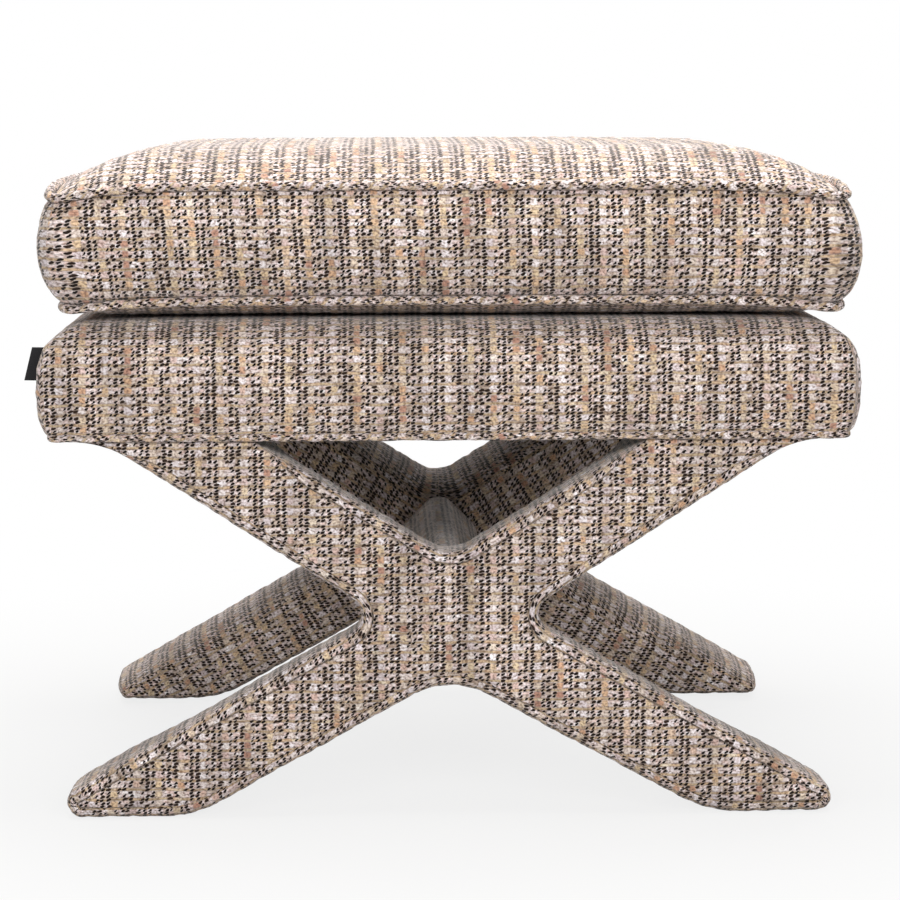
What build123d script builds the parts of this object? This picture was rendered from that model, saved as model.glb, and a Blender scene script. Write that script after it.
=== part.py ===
from build123d import *
from math import acos, asin, atan2, cos, degrees, hypot, sin, sqrt
import os

os.makedirs("parts", exist_ok=True)

# An upholstered ottoman: a loose piped cushion on a padded platform that stands on two padded X frames.
# Millimetres, X to the right, front at -Y, Z up from the floor, origin under the middle.

# Soft layers
FABRIC = 1.6
LAYER_GAP = 0.2
PIPING_RADIUS = 4.0
PIPING_GAP = 0.2

# X frames, outside the fabric; corners are given before they are rounded
FRAME_THICKNESS = 74.0
FRAME_MARGIN = 7.5
GLIDE_HEIGHT = 2.0
TOE_MARGIN = 6.5
TOE_HEIGHT = 16.0
FOOT_LENGTH = 94.5
ARCH_HEIGHT = 106.6
WAIST_REACH = 51.1
WAIST_HEIGHT = 147.2
VALLEY_HEIGHT = 189.4
VALLEY_REACH = 142.0
ARM_MARGIN = 37.5
LIP_RUN = 20.0
LIP_HEIGHT = 3.0
TOE_RADIUS = 10.0
HEEL_RADIUS = 85.0
ARCH_RADIUS = 55.0
WAIST_RADIUS = 14.0
VALLEY_RADIUS = 27.0
LIP_RADIUS = 50.0
EDGE_RADIUS = 8.0
EDGE_SHARE = 0.9
TOE_TANGENT = 0.6
ARM_OVERRUN = 30.0

# Timber inside the X frames
BEAM_WIDTH = 38.0
BEAM_THICKNESS = 55.0
BEAM_FOOT_SHIFT = 2.75
BEAM_HEAD_SHIFT = 6.0
SOLE_FOAM = 2.5

# Stretcher between the crossings, a square bar standing on its edge
STRETCHER_SIDE = 54.0
STRETCHER_RADIUS = 8.0
STRETCHER_CORE = 40.0
STRETCHER_BOLT_REACH = 60.0
STRETCHER_NUT_INSET = 45.0
ON_EDGE = 45.0

# Seat platform
PLATFORM_BOTTOM = 275.0
PLATFORM_WIDTH = 571.0
PLATFORM_DEPTH = 447.0
PLATFORM_BULGE = 4.5
PLATFORM_CORNER = 14.0
CROWN_RUN = 50.0
CROWN_RISE = 20.7
DUST_COVER = 1.0
DUST_COVER_MARGIN = 3.0
RAIL_THICKNESS = 22.0
RAIL_HEIGHT = 60.0
BATTEN_WIDTH = 42.0
BATTEN_HEIGHT = 40.0
BLOCK_LEG = 45.0
DECK_THICKNESS = 9.0
TAB_HEIGHT = 25.0
TAB_REACH = 8.0
TAB_THICKNESS = 1.6
TAB_SETBACK = 24.0
TAB_TOP = 344.0

# Loose cushion
REST_GAP = 0.3
CUSHION_MARGIN = 7.5
CUSHION_CORNER = 16.0
CUSHION_DRAW = 2.5
BOXING_HEIGHT = 75.0
BOXING_BULGE = 13.0
TOP_RUN = 90.0
TOP_RISE = 35.0
UNDER_RUN = 45.0
UNDER_DROP = 12.0
WRAP_THICKNESS = 12.0

# Zip in the rear boxing
ZIP_LENGTH = 400.0
ZIP_WIDTH = 8.0
ZIP_COIL_WIDTH = 4.0
ZIP_COIL_HEIGHT = 1.2
ZIP_GAP = 0.2
SLIDER_LENGTH = 11.0
SLIDER_WIDTH = 8.0
SLIDER_HEIGHT = 2.0
SLIDER_TAPER = 80.0
SLIDER_GAP = 0.3

# Bolts, washers, inserts and glides
BOLT_DIAMETER = 8.0
BOLT_HEAD_DIAMETER = 14.0
BOLT_HEAD_HEIGHT = 5.0
WASHER_DIAMETER = 20.0
WASHER_THICKNESS = 1.6
BOLT_CLEARANCE = 0.5
INSERT_DIAMETER = 12.0
INSERT_LENGTH = 15.0
ARM_BOLT_SPACING = 24.0
ARM_BOLT_SHIFT = 6.0
NUT_DIAMETER = 14.0
NUT_LENGTH = 22.0
FIT_CLEARANCE = 0.1
GLIDE_DIAMETER = 24.0
GLIDE_CHAMFER = 0.5
NAIL_DIAMETER = 2.4
NAIL_HEAD_DIAMETER = 6.0
NAIL_HEAD_HEIGHT = 0.8
NAIL_RECESS = 0.4
NAIL_LENGTH = 18.0

# Sections in each loft
BOXING_STEPS = 4
CROWN_STEPS = 4
SIDE_STEPS = 3

# Levels and places that follow from the sizes above
FRAME_Y = PLATFORM_DEPTH / 2 - FRAME_MARGIN - FRAME_THICKNESS / 2
FRAME_INSIDE = FRAME_Y - FRAME_THICKNESS / 2
BEAM_OUTSIDE = FRAME_Y + BEAM_THICKNESS / 2
BEAM_INSIDE = FRAME_Y - BEAM_THICKNESS / 2
SOLE_LEVEL = GLIDE_HEIGHT
TOE_REACH = PLATFORM_WIDTH / 2 - TOE_MARGIN
HEEL_REACH = TOE_REACH - FOOT_LENGTH
ARM_REACH = PLATFORM_WIDTH / 2 - ARM_MARGIN
LIP_REACH = ARM_REACH + LIP_RUN
ARM_MIDDLE = (VALLEY_REACH + ARM_REACH) / 2
BEAM_HEAD = ARM_MIDDLE + BEAM_HEAD_SHIFT
ARM_BOLT_MIDDLE = ARM_MIDDLE - ARM_BOLT_SHIFT
GLIDE_REACH = (HEEL_REACH + TOE_REACH) / 2
BEAM_FOOT = GLIDE_REACH - BEAM_FOOT_SHIFT
RAIL_BOTTOM = PLATFORM_BOTTOM + DUST_COVER
DECK_BOTTOM = RAIL_BOTTOM + RAIL_HEIGHT
DECK_TOP = DECK_BOTTOM + DECK_THICKNESS
COVER_BOTTOM = PLATFORM_BOTTOM + 2 * PIPING_RADIUS + PIPING_GAP
PLATFORM_TOP = DECK_TOP + CROWN_RISE
RAIL_X = PLATFORM_WIDTH / 2 - 2 * PIPING_RADIUS
RAIL_Y = PLATFORM_DEPTH / 2 - 2 * PIPING_RADIUS
RAIL_CORNER = PLATFORM_CORNER - 2 * PIPING_RADIUS
BATTEN_TOP = RAIL_BOTTOM + BATTEN_HEIGHT
BATTEN_Y = RAIL_Y - RAIL_THICKNESS - BATTEN_WIDTH / 2
CUSHION_WIDTH = PLATFORM_WIDTH - 2 * CUSHION_MARGIN
CUSHION_DEPTH = PLATFORM_DEPTH - 2 * CUSHION_MARGIN
UNDER_LEVEL = PLATFORM_TOP + REST_GAP
LOWER_SEAM = UNDER_LEVEL + UNDER_DROP
UPPER_SEAM = LOWER_SEAM + BOXING_HEIGHT
CUSHION_TOP = UPPER_SEAM + TOP_RISE
FOAM_INSET = FABRIC + LAYER_GAP + WRAP_THICKNESS
BEAM_SLOPE = (PLATFORM_BOTTOM - SOLE_LEVEL) / (BEAM_FOOT + BEAM_HEAD)
CROSSING_LEVEL = SOLE_LEVEL + BEAM_FOOT * BEAM_SLOPE
BEAM_ANGLE = degrees(atan2(PLATFORM_BOTTOM - SOLE_LEVEL, BEAM_FOOT + BEAM_HEAD))
BAR_LENGTH = 4 * TOE_REACH
CORE_HOLE = STRETCHER_CORE + 2 * FIT_CLEARANCE
NUT_Y = BEAM_INSIDE - STRETCHER_NUT_INSET
BOLT_HOLE_RADIUS = BOLT_DIAMETER / 2 + BOLT_CLEARANCE
HEAD_POCKET_RADIUS = WASHER_DIAMETER / 2 + BOLT_CLEARANCE
HEAD_POCKET_DEPTH = WASHER_THICKNESS + BOLT_HEAD_HEIGHT + BOLT_CLEARANCE
NAIL_HOLE_RADIUS = NAIL_DIAMETER / 2 + FIT_CLEARANCE
NAIL_TIP = NAIL_RECESS + NAIL_LENGTH
FROM_BELOW = (Align.CENTER, Align.CENTER, Align.MIN)
FROM_ABOVE = (Align.CENTER, Align.CENTER, Align.MAX)
SIDES = ((-1, "left"), (1, "right"))
ENDS = ((-1, "front"), (1, "rear"))


def save(builder, name):
    """Label one finished sub-part and write it to its own file."""
    builder.part.label = name
    export_step(builder.part, f"parts/{name}.step")


def arc_radius(half_chord, rise):
    """Radius of the arc that rises by `rise` over a chord of twice `half_chord`."""
    return (half_chord**2 + rise**2) / (2 * rise)


class BulgeProfile:
    """Upright arc of a boxed side, from one seam to the next, bulging outward at mid-height."""

    def __init__(self, bottom, top, bulge):
        self.level = (bottom + top) / 2
        self.radius = arc_radius((top - bottom) / 2, bulge)
        self.centre = bulge - self.radius

    def reach(self, height, inset):
        """How far the arc, moved in by `inset`, stands outside the seam at a height."""
        return self.centre + sqrt((self.radius - inset) ** 2 - (height - self.level) ** 2)


class CrownProfile:
    """Arc of a crowned panel, level at its crest and falling to the seam over `run`."""

    def __init__(self, seam, crest, run):
        self.side = 1 if crest > seam else -1
        self.run = run
        self.seam = seam
        self.radius = arc_radius(run, abs(crest - seam))
        self.level = crest - self.side * self.radius

    def sections(self, inset, steps):
        """Pairs of height and distance inside the seam, from the seam plane to the crest."""
        radius = self.radius - inset
        start = acos((self.seam - self.level) * self.side / radius)
        angles = [start * (steps - step) / steps for step in range(steps + 1)]
        return [(self.level + self.side * radius * cos(a), self.run - radius * sin(a)) for a in angles]


def nestle(bulge, crown, gap_radius):
    """Reach and height of a cord that rests against both the bulging side and the crown beside it."""
    dx = bulge.centre + crown.run
    dz = bulge.level - crown.level
    apart = hypot(dx, dz)
    to_crown = crown.radius + gap_radius
    to_bulge = bulge.radius + gap_radius
    along = (apart**2 + to_crown**2 - to_bulge**2) / (2 * apart)
    turn = acos(along / to_crown)
    heading = atan2(dz, dx) - crown.side * turn
    return -crown.run + to_crown * cos(heading), crown.level + to_crown * sin(heading)


def draw_pillow(width, depth, radius, draw):
    """Closed outline of a cushion: round corners, and sides drawn in by `draw` between them."""
    a = width / 2 - radius
    b = depth / 2 - radius
    reach_x = (a**2 + draw**2) / (2 * draw)
    reach_y = (b**2 + draw**2) / (2 * draw)
    x_turn = asin(a / reach_x)
    y_turn = asin(b / reach_y)
    x_end = (a - radius * sin(x_turn), b + radius * cos(x_turn))
    y_end = (a + radius * cos(y_turn), b - radius * sin(y_turn))
    corner = (a + radius * sqrt(0.5), b + radius * sqrt(0.5))
    for mx, my in ((1, 1), (-1, 1), (-1, -1), (1, -1)):
        ThreePointArc(
            (mx * y_end[0], my * y_end[1]),
            (mx * corner[0], my * corner[1]),
            (mx * x_end[0], my * x_end[1]),
        )
    for my in (1, -1):
        ThreePointArc(
            (-x_end[0], my * x_end[1]), (0, my * (depth / 2 - draw)), (x_end[0], my * x_end[1])
        )
    for mx in (1, -1):
        ThreePointArc(
            (mx * y_end[0], -y_end[1]), (mx * (width / 2 - draw), 0), (mx * y_end[0], y_end[1])
        )


def cushion_corner(reach):
    """Corner radius of the cushion's outline: wider outside the seam, down to half of it at the crest."""
    return CUSHION_CORNER + reach if reach > 0 else CUSHION_CORNER * (1 + reach / (2 * TOP_RUN))


def cushion_section(height, reach):
    """Face of the cushion at one height, standing `reach` outside the seam."""
    with BuildSketch(Plane.XY.offset(height)) as section:
        with BuildLine():
            draw_pillow(
                CUSHION_WIDTH + 2 * reach,
                CUSHION_DEPTH + 2 * reach,
                cushion_corner(reach),
                CUSHION_DRAW,
            )
        make_face()
    return section.sketch


def platform_section(height, reach):
    """Face of the platform at one height, standing `reach` outside its seam."""
    with BuildSketch(Plane.XY.offset(height)) as section:
        RectangleRounded(
            PLATFORM_WIDTH + 2 * reach, PLATFORM_DEPTH + 2 * reach, PLATFORM_CORNER + max(reach, -FABRIC)
        )
    return section.sketch


def bulge_heights(bottom, top, steps):
    """Heights spread evenly from one seam to the next."""
    return [bottom + (top - bottom) * step / steps for step in range(steps + 1)]


# Profiles of the cushion and of the platform
boxing_arc = BulgeProfile(LOWER_SEAM, UPPER_SEAM, BOXING_BULGE)
top_arc = CrownProfile(UPPER_SEAM, CUSHION_TOP, TOP_RUN)
under_arc = CrownProfile(LOWER_SEAM, UNDER_LEVEL, UNDER_RUN)
side_arc = BulgeProfile(RAIL_BOTTOM, DECK_TOP, PLATFORM_BULGE)
crown_arc = CrownProfile(DECK_TOP, PLATFORM_TOP, CROWN_RUN)


def loft_boxing(inset, mode=Mode.ADD):
    """Bulging band of the cushion between its two seams."""
    heights = bulge_heights(LOWER_SEAM, UPPER_SEAM, BOXING_STEPS)
    loft([cushion_section(height, boxing_arc.reach(height, inset)) for height in heights], mode=mode)


def loft_crown(arc, inset, mode=Mode.ADD):
    """Crowned top or underside of the cushion, from its seam to its crest."""
    sections = arc.sections(inset, CROWN_STEPS)
    loft([cushion_section(height, -inside) for height, inside in sections], mode=mode)


def loft_platform_side(bottom, inset, mode=Mode.ADD):
    """Bulging side of the platform up to the level of its deck."""
    heights = bulge_heights(bottom, DECK_TOP, SIDE_STEPS)
    loft([platform_section(height, side_arc.reach(height, inset)) for height in heights], mode=mode)


def loft_platform_crown(inset, mode=Mode.ADD):
    """Rounded shoulder and crown of the platform above its deck."""
    sections = crown_arc.sections(inset, CROWN_STEPS)
    loft([platform_section(height, -inside) for height, inside in sections], mode=mode)


# Outline of an X frame, from its lines before they are rounded
def outer_arm_slope():
    return (PLATFORM_BOTTOM - WAIST_HEIGHT) / (ARM_REACH - WAIST_REACH)


def draw_x(lip):
    """X outline with arms that run on past the platform, with or without the lip under the platform."""
    top = PLATFORM_BOTTOM + ARM_OVERRUN
    valley_top = VALLEY_REACH * (top - VALLEY_HEIGHT) / (PLATFORM_BOTTOM - VALLEY_HEIGHT)
    lip_level = PLATFORM_BOTTOM - LIP_HEIGHT
    lip_start = ARM_REACH - LIP_HEIGHT / outer_arm_slope()
    arm_top = ARM_REACH + ARM_OVERRUN / outer_arm_slope()
    arm_side = [((arm_top, top), 0.0)]
    if lip:
        arm_side = [
            ((LIP_REACH, top), 0.0),
            ((LIP_REACH, lip_level), 0.0),
            ((lip_start, lip_level), LIP_RADIUS),
        ]
    right = [
        ((valley_top, top), 0.0),
        *arm_side,
        ((WAIST_REACH, WAIST_HEIGHT), WAIST_RADIUS),
        ((TOE_REACH, TOE_HEIGHT), TOE_RADIUS),
        ((TOE_REACH, SOLE_LEVEL), 0.0),
        ((HEEL_REACH, SOLE_LEVEL), HEEL_RADIUS),
    ]
    left = [((-x, z), radius) for (x, z), radius in reversed(right)]
    corners = [((0, VALLEY_HEIGHT), VALLEY_RADIUS), *right, ((0, ARCH_HEIGHT), ARCH_RADIUS), *left]
    FilletPolyline(*[point for point, _ in corners], radius=[radius for _, radius in corners], close=True)


def edge_rounding(inset):
    """Rounding of the padded edges, held within the straight part of the toe."""
    toe_line = TOE_HEIGHT - SOLE_LEVEL - TOE_RADIUS * TOE_TANGENT
    return min(EDGE_RADIUS, toe_line, TOE_RADIUS * EDGE_SHARE) - inset


def x_prism(y_middle, inset, lip):
    """Padded X with softly rounded edges, moved in by `inset` and cut off level under the platform."""
    with BuildPart() as prism:
        with BuildSketch(Plane.XZ.offset(-y_middle)):
            with BuildLine():
                draw_x(lip)
            make_face()
            if inset:
                offset(amount=-inset, kind=Kind.INTERSECTION)
        extrude(amount=FRAME_THICKNESS / 2 - inset, both=True)
        fillet(prism.faces().filter_by(Axis.Y).edges(), radius=edge_rounding(inset))
        split(bisect_by=Plane.XY.offset(PLATFORM_BOTTOM), keep=Keep.BOTTOM)
    return prism.part


def beam_bar(y_middle, rake):
    """Straight timber from a foot to the opposite arm, inside the padding; `rake` 1 rises to the right."""
    with BuildPart() as bar:
        with BuildSketch(Plane.XZ.offset(-y_middle)):
            with BuildLine():
                draw_x(False)
            make_face()
            offset(amount=-(FABRIC + SOLE_FOAM), kind=Kind.INTERSECTION)
            with Locations((0, CROSSING_LEVEL)):
                Rectangle(BAR_LENGTH, BEAM_WIDTH, rotation=rake * BEAM_ANGLE, mode=Mode.INTERSECT)
        extrude(amount=BEAM_THICKNESS / 2, both=True)
        split(bisect_by=Plane.XY.offset(PLATFORM_BOTTOM), keep=Keep.BOTTOM)
    return bar.part


def crossing_plane(y_level, facing):
    """Upright plane through the crossing of an X, facing the front (-1) or the rear (1)."""
    return Plane(origin=(0, y_level, CROSSING_LEVEL), x_dir=(1, 0, 0), z_dir=(0, facing, 0))


def bolt_places(x_side):
    """Distances from the middle of the two bolts in one arm."""
    return [x_side * (ARM_BOLT_MIDDLE + step * ARM_BOLT_SPACING / 2) for step in (-1, 1)]


# X frames: two half-lapped timbers, the foam round them and the sewn cover
for end, end_name in ENDS:
    y_middle = end * FRAME_Y
    outside = x_prism(y_middle, 0.0, True)
    cavity = x_prism(y_middle, FABRIC, False)
    filling = x_prism(y_middle, FABRIC + LAYER_GAP, False)
    bars = {rake: beam_bar(y_middle, rake) for rake in (1, -1)}
    crossing_face = crossing_plane(end * BEAM_OUTSIDE, end)
    inner_face = crossing_plane(end * FRAME_INSIDE, -end)

    for rake, rake_name in ((1, "rising"), (-1, "falling")):
        with BuildPart() as beam:
            add(bars[rake])
            # Half lap: at the crossing the rising timber keeps its front half, the falling one its rear
            with BuildSketch(Plane.XZ.offset(-y_middle)):
                with Locations((0, CROSSING_LEVEL)):
                    Rectangle(BAR_LENGTH, BEAM_WIDTH, rotation=BEAM_ANGLE)
                    Rectangle(BAR_LENGTH, BEAM_WIDTH, rotation=-BEAM_ANGLE, mode=Mode.INTERSECT)
            extrude(amount=-rake * BEAM_THICKNESS / 2, mode=Mode.SUBTRACT)
            with Locations(crossing_face):
                CounterBoreHole(BOLT_HOLE_RADIUS, HEAD_POCKET_RADIUS, HEAD_POCKET_DEPTH, BEAM_THICKNESS)
            with Locations(*[(x, end * BATTEN_Y, PLATFORM_BOTTOM) for x in bolt_places(rake)]):
                Hole(INSERT_DIAMETER / 2 + FIT_CLEARANCE, INSERT_LENGTH)
            with Locations((-rake * GLIDE_REACH, y_middle, 0)):
                Cylinder(NAIL_HOLE_RADIUS, NAIL_TIP, align=FROM_BELOW, mode=Mode.SUBTRACT)
        save(beam, f"{end_name}_{rake_name}_beam")

    with BuildPart() as padding:
        add(filling)
        for rake in bars:
            add(bars[rake], mode=Mode.SUBTRACT)
        with BuildSketch(inner_face):
            Rectangle(CORE_HOLE, CORE_HOLE, rotation=ON_EDGE)
        extrude(amount=-(BEAM_INSIDE - FRAME_INSIDE), mode=Mode.SUBTRACT)
        with Locations(*[(side * GLIDE_REACH, y_middle, 0) for side, _ in SIDES]):
            Cylinder(NAIL_HOLE_RADIUS, NAIL_TIP, align=FROM_BELOW, mode=Mode.SUBTRACT)
    save(padding, f"{end_name}_x_padding")

    with BuildPart() as cover:
        add(outside)
        add(cavity, mode=Mode.SUBTRACT)
        with BuildSketch(inner_face):
            Rectangle(CORE_HOLE, CORE_HOLE, rotation=ON_EDGE)
        extrude(amount=-(BEAM_INSIDE - FRAME_INSIDE), mode=Mode.SUBTRACT)
        with Locations(*[(side * GLIDE_REACH, y_middle, 0) for side, _ in SIDES]):
            Cylinder(NAIL_HOLE_RADIUS, NAIL_TIP, align=FROM_BELOW, mode=Mode.SUBTRACT)
    save(cover, f"{end_name}_x_cover")

# Stretcher: a timber between the two crossings, wrapped in foam and fabric
CORE_FACE = Plane(origin=(0, 0, CROSSING_LEVEL), x_dir=(1, 0, 1), z_dir=(1, 0, -1))
with BuildPart() as stretcher_core:
    with BuildSketch(Plane.XZ):
        with Locations((0, CROSSING_LEVEL)):
            Rectangle(STRETCHER_CORE, STRETCHER_CORE, rotation=ON_EDGE)
    extrude(amount=BEAM_INSIDE, both=True)
    for end, _ in ENDS:
        with Locations(Plane(origin=(0, end * BEAM_INSIDE, CROSSING_LEVEL), z_dir=(0, end, 0))):
            Hole(BOLT_HOLE_RADIUS, STRETCHER_BOLT_REACH)
        with Locations(CORE_FACE.offset(STRETCHER_CORE / 2)):
            with Locations((0, end * NUT_Y)):
                Hole(NUT_DIAMETER / 2 + FIT_CLEARANCE, (STRETCHER_CORE + NUT_LENGTH) / 2)
save(stretcher_core, "stretcher_core")

for layer_name, outer_inset, inner_side in (
    ("stretcher_padding", FABRIC + LAYER_GAP, STRETCHER_CORE),
    ("stretcher_cover", 0.0, STRETCHER_SIDE - 2 * FABRIC),
):
    with BuildPart() as layer:
        with BuildSketch(Plane.XZ):
            with Locations((0, CROSSING_LEVEL)):
                RectangleRounded(
                    STRETCHER_SIDE - 2 * outer_inset,
                    STRETCHER_SIDE - 2 * outer_inset,
                    STRETCHER_RADIUS - outer_inset,
                    rotation=ON_EDGE,
                )
                if inner_side > STRETCHER_CORE:
                    RectangleRounded(
                        inner_side,
                        inner_side,
                        STRETCHER_RADIUS - FABRIC,
                        rotation=ON_EDGE,
                        mode=Mode.SUBTRACT,
                    )
                else:
                    Rectangle(inner_side, inner_side, rotation=ON_EDGE, mode=Mode.SUBTRACT)
        extrude(amount=FRAME_INSIDE - LAYER_GAP, both=True)
    save(layer, layer_name)

# Bolts that pull the stretcher against the crossings, with their washers and cross nuts
with BuildPart() as stretcher_bolts:
    for end, _ in ENDS:
        seat = BEAM_OUTSIDE - HEAD_POCKET_DEPTH + WASHER_THICKNESS
        seat_plane = crossing_plane(end * seat, end)
        with BuildSketch(seat_plane):
            RegularPolygon(BOLT_HEAD_DIAMETER / 2, 6)
        extrude(amount=BOLT_HEAD_HEIGHT)
        with BuildSketch(seat_plane):
            Circle(BOLT_DIAMETER / 2)
        extrude(amount=-(seat - BEAM_INSIDE + STRETCHER_BOLT_REACH - BOLT_CLEARANCE))
save(stretcher_bolts, "stretcher_bolts")

with BuildPart() as stretcher_washers:
    for end, _ in ENDS:
        with BuildSketch(crossing_plane(end * (BEAM_OUTSIDE - HEAD_POCKET_DEPTH), end)):
            Circle(WASHER_DIAMETER / 2)
            Circle(BOLT_HOLE_RADIUS, mode=Mode.SUBTRACT)
        extrude(amount=WASHER_THICKNESS)
save(stretcher_washers, "stretcher_washers")

with BuildPart() as stretcher_nuts:
    for end, _ in ENDS:
        with BuildSketch(CORE_FACE):
            with Locations((0, end * NUT_Y)):
                Circle(NUT_DIAMETER / 2)
        extrude(amount=NUT_LENGTH / 2, both=True)
    with BuildSketch(Plane.XZ):
        with Locations((0, CROSSING_LEVEL)):
            Circle(BOLT_DIAMETER / 2 + FIT_CLEARANCE)
    extrude(amount=BEAM_INSIDE, both=True, mode=Mode.SUBTRACT)
save(stretcher_nuts, "stretcher_nuts")

# Glides under the four feet and the nails that hold them
for end, end_name in ENDS:
    for side, side_name in SIDES:
        with BuildPart() as glide:
            with Locations((side * GLIDE_REACH, end * FRAME_Y, 0)):
                Cylinder(GLIDE_DIAMETER / 2, GLIDE_HEIGHT, align=FROM_BELOW)
                Cylinder(NAIL_HOLE_RADIUS, GLIDE_HEIGHT, align=FROM_BELOW, mode=Mode.SUBTRACT)
                Cylinder(
                    NAIL_HEAD_DIAMETER / 2 + FIT_CLEARANCE,
                    NAIL_RECESS + NAIL_HEAD_HEIGHT,
                    align=FROM_BELOW,
                    mode=Mode.SUBTRACT,
                )
            rim = glide.edges().filter_by(GeomType.CIRCLE).group_by(Axis.Z)[0].sort_by(SortBy.RADIUS)[-1]
            chamfer(rim, GLIDE_CHAMFER)
        save(glide, f"{end_name}_{side_name}_glide")

with BuildPart() as glide_nails:
    with Locations(*[(x * GLIDE_REACH, y * FRAME_Y, NAIL_RECESS) for x, _ in SIDES for y, _ in ENDS]):
        Cylinder(NAIL_HEAD_DIAMETER / 2, NAIL_HEAD_HEIGHT, align=FROM_BELOW)
        Cylinder(NAIL_DIAMETER / 2, NAIL_LENGTH - FIT_CLEARANCE, align=FROM_BELOW)
save(glide_nails, "glide_nails")

# Timber frame of the platform: the long rails run past the short ones
for end, end_name in ENDS:
    with BuildPart() as long_rail:
        with Locations((0, end * (RAIL_Y - RAIL_THICKNESS / 2), RAIL_BOTTOM)):
            Box(2 * RAIL_X, RAIL_THICKNESS, RAIL_HEIGHT, align=FROM_BELOW)
        outer_corners = long_rail.edges().filter_by(Axis.Z).group_by(Axis.Y)[0 if end < 0 else -1]
        fillet(outer_corners, RAIL_CORNER)
    save(long_rail, f"{end_name}_rail")

for side, side_name in SIDES:
    with BuildPart() as short_rail:
        with Locations((side * (RAIL_X - RAIL_THICKNESS / 2), 0, RAIL_BOTTOM)):
            Box(RAIL_THICKNESS, 2 * (RAIL_Y - RAIL_THICKNESS), RAIL_HEIGHT, align=FROM_BELOW)
    save(short_rail, f"{side_name}_rail")

# Battens over the arms, drilled for the arm bolts
for end, end_name in ENDS:
    with BuildPart() as batten:
        with Locations((0, end * BATTEN_Y, RAIL_BOTTOM)):
            Box(2 * (RAIL_X - RAIL_THICKNESS), BATTEN_WIDTH, BATTEN_HEIGHT, align=FROM_BELOW)
        with Locations(*[(x, end * BATTEN_Y, BATTEN_TOP) for side, _ in SIDES for x in bolt_places(side)]):
            Hole(BOLT_HOLE_RADIUS, BATTEN_HEIGHT)
    save(batten, f"{end_name}_batten")

with BuildPart() as corner_blocks:
    for x_side, _ in SIDES:
        for y_side, _ in ENDS:
            x_corner = x_side * (RAIL_X - RAIL_THICKNESS)
            y_corner = y_side * (BATTEN_Y - BATTEN_WIDTH / 2)
            with BuildSketch(Plane.XY.offset(RAIL_BOTTOM)):
                with BuildLine():
                    Polyline(
                        (x_corner, y_corner),
                        (x_corner - x_side * BLOCK_LEG, y_corner),
                        (x_corner, y_corner - y_side * BLOCK_LEG),
                        close=True,
                    )
                make_face()
    extrude(amount=BATTEN_HEIGHT)
save(corner_blocks, "corner_blocks")

# Bolts from the battens down into threaded inserts in the arms
ARM_BOLTS = [(x, y * BATTEN_Y) for y, _ in ENDS for side, _ in SIDES for x in bolt_places(side)]

with BuildPart() as arm_bolts:
    with BuildSketch(Plane.XY.offset(BATTEN_TOP + WASHER_THICKNESS)):
        with Locations(*ARM_BOLTS):
            RegularPolygon(BOLT_HEAD_DIAMETER / 2, 6)
    extrude(amount=BOLT_HEAD_HEIGHT)
    with Locations(*[(x, y, BATTEN_TOP + WASHER_THICKNESS) for x, y in ARM_BOLTS]):
        Cylinder(
            BOLT_DIAMETER / 2,
            BATTEN_TOP + WASHER_THICKNESS - PLATFORM_BOTTOM + INSERT_LENGTH - BOLT_CLEARANCE,
            align=FROM_ABOVE,
        )
save(arm_bolts, "arm_bolts")

with BuildPart() as arm_washers:
    with BuildSketch(Plane.XY.offset(BATTEN_TOP)):
        with Locations(*ARM_BOLTS):
            Circle(WASHER_DIAMETER / 2)
            Circle(BOLT_HOLE_RADIUS, mode=Mode.SUBTRACT)
    extrude(amount=WASHER_THICKNESS)
save(arm_washers, "arm_washers")

with BuildPart() as arm_inserts:
    with BuildSketch(Plane.XY.offset(PLATFORM_BOTTOM)):
        with Locations(*ARM_BOLTS):
            Circle(INSERT_DIAMETER / 2)
            Circle(BOLT_DIAMETER / 2 + FIT_CLEARANCE, mode=Mode.SUBTRACT)
    extrude(amount=-INSERT_LENGTH)
save(arm_inserts, "arm_inserts")

# Deck, padding, cover, piping, dust cover and side tab of the platform
with BuildPart() as deck_board:
    with Locations((0, 0, DECK_BOTTOM)):
        Box(2 * RAIL_X, 2 * RAIL_Y, DECK_THICKNESS, align=FROM_BELOW)
save(deck_board, "deck_board")

with BuildPart() as rail_wadding:
    loft_platform_side(COVER_BOTTOM, FABRIC + LAYER_GAP)
    with Locations((0, 0, RAIL_BOTTOM)):
        Box(2 * RAIL_X, 2 * RAIL_Y, RAIL_HEIGHT + DECK_THICKNESS, align=FROM_BELOW, mode=Mode.SUBTRACT)
save(rail_wadding, "rail_wadding")

with BuildPart() as deck_foam:
    loft_platform_crown(FABRIC + LAYER_GAP)
save(deck_foam, "deck_foam")

with BuildPart() as platform_cover:
    loft_platform_side(COVER_BOTTOM, 0.0)
    loft_platform_crown(0.0)
    loft_platform_side(COVER_BOTTOM, FABRIC, mode=Mode.SUBTRACT)
    loft_platform_crown(FABRIC, mode=Mode.SUBTRACT)
save(platform_cover, "platform_cover")

with BuildPart() as platform_piping:
    with BuildLine(Plane.XY.offset(PLATFORM_BOTTOM + PIPING_RADIUS)) as platform_edge:
        edge_inset = PIPING_RADIUS - PIPING_GAP
        half_x = PLATFORM_WIDTH / 2 - edge_inset
        half_y = PLATFORM_DEPTH / 2 - edge_inset
        FilletPolyline(
            (half_x, -half_y),
            (half_x, half_y),
            (-half_x, half_y),
            (-half_x, -half_y),
            radius=PLATFORM_CORNER - edge_inset,
            close=True,
        )
    edge_wire = platform_edge.wires()[0]
    with BuildSketch(Plane(origin=edge_wire @ 0, z_dir=edge_wire % 0)):
        Circle(PIPING_RADIUS)
    sweep(path=edge_wire)
save(platform_piping, "platform_piping")

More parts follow.
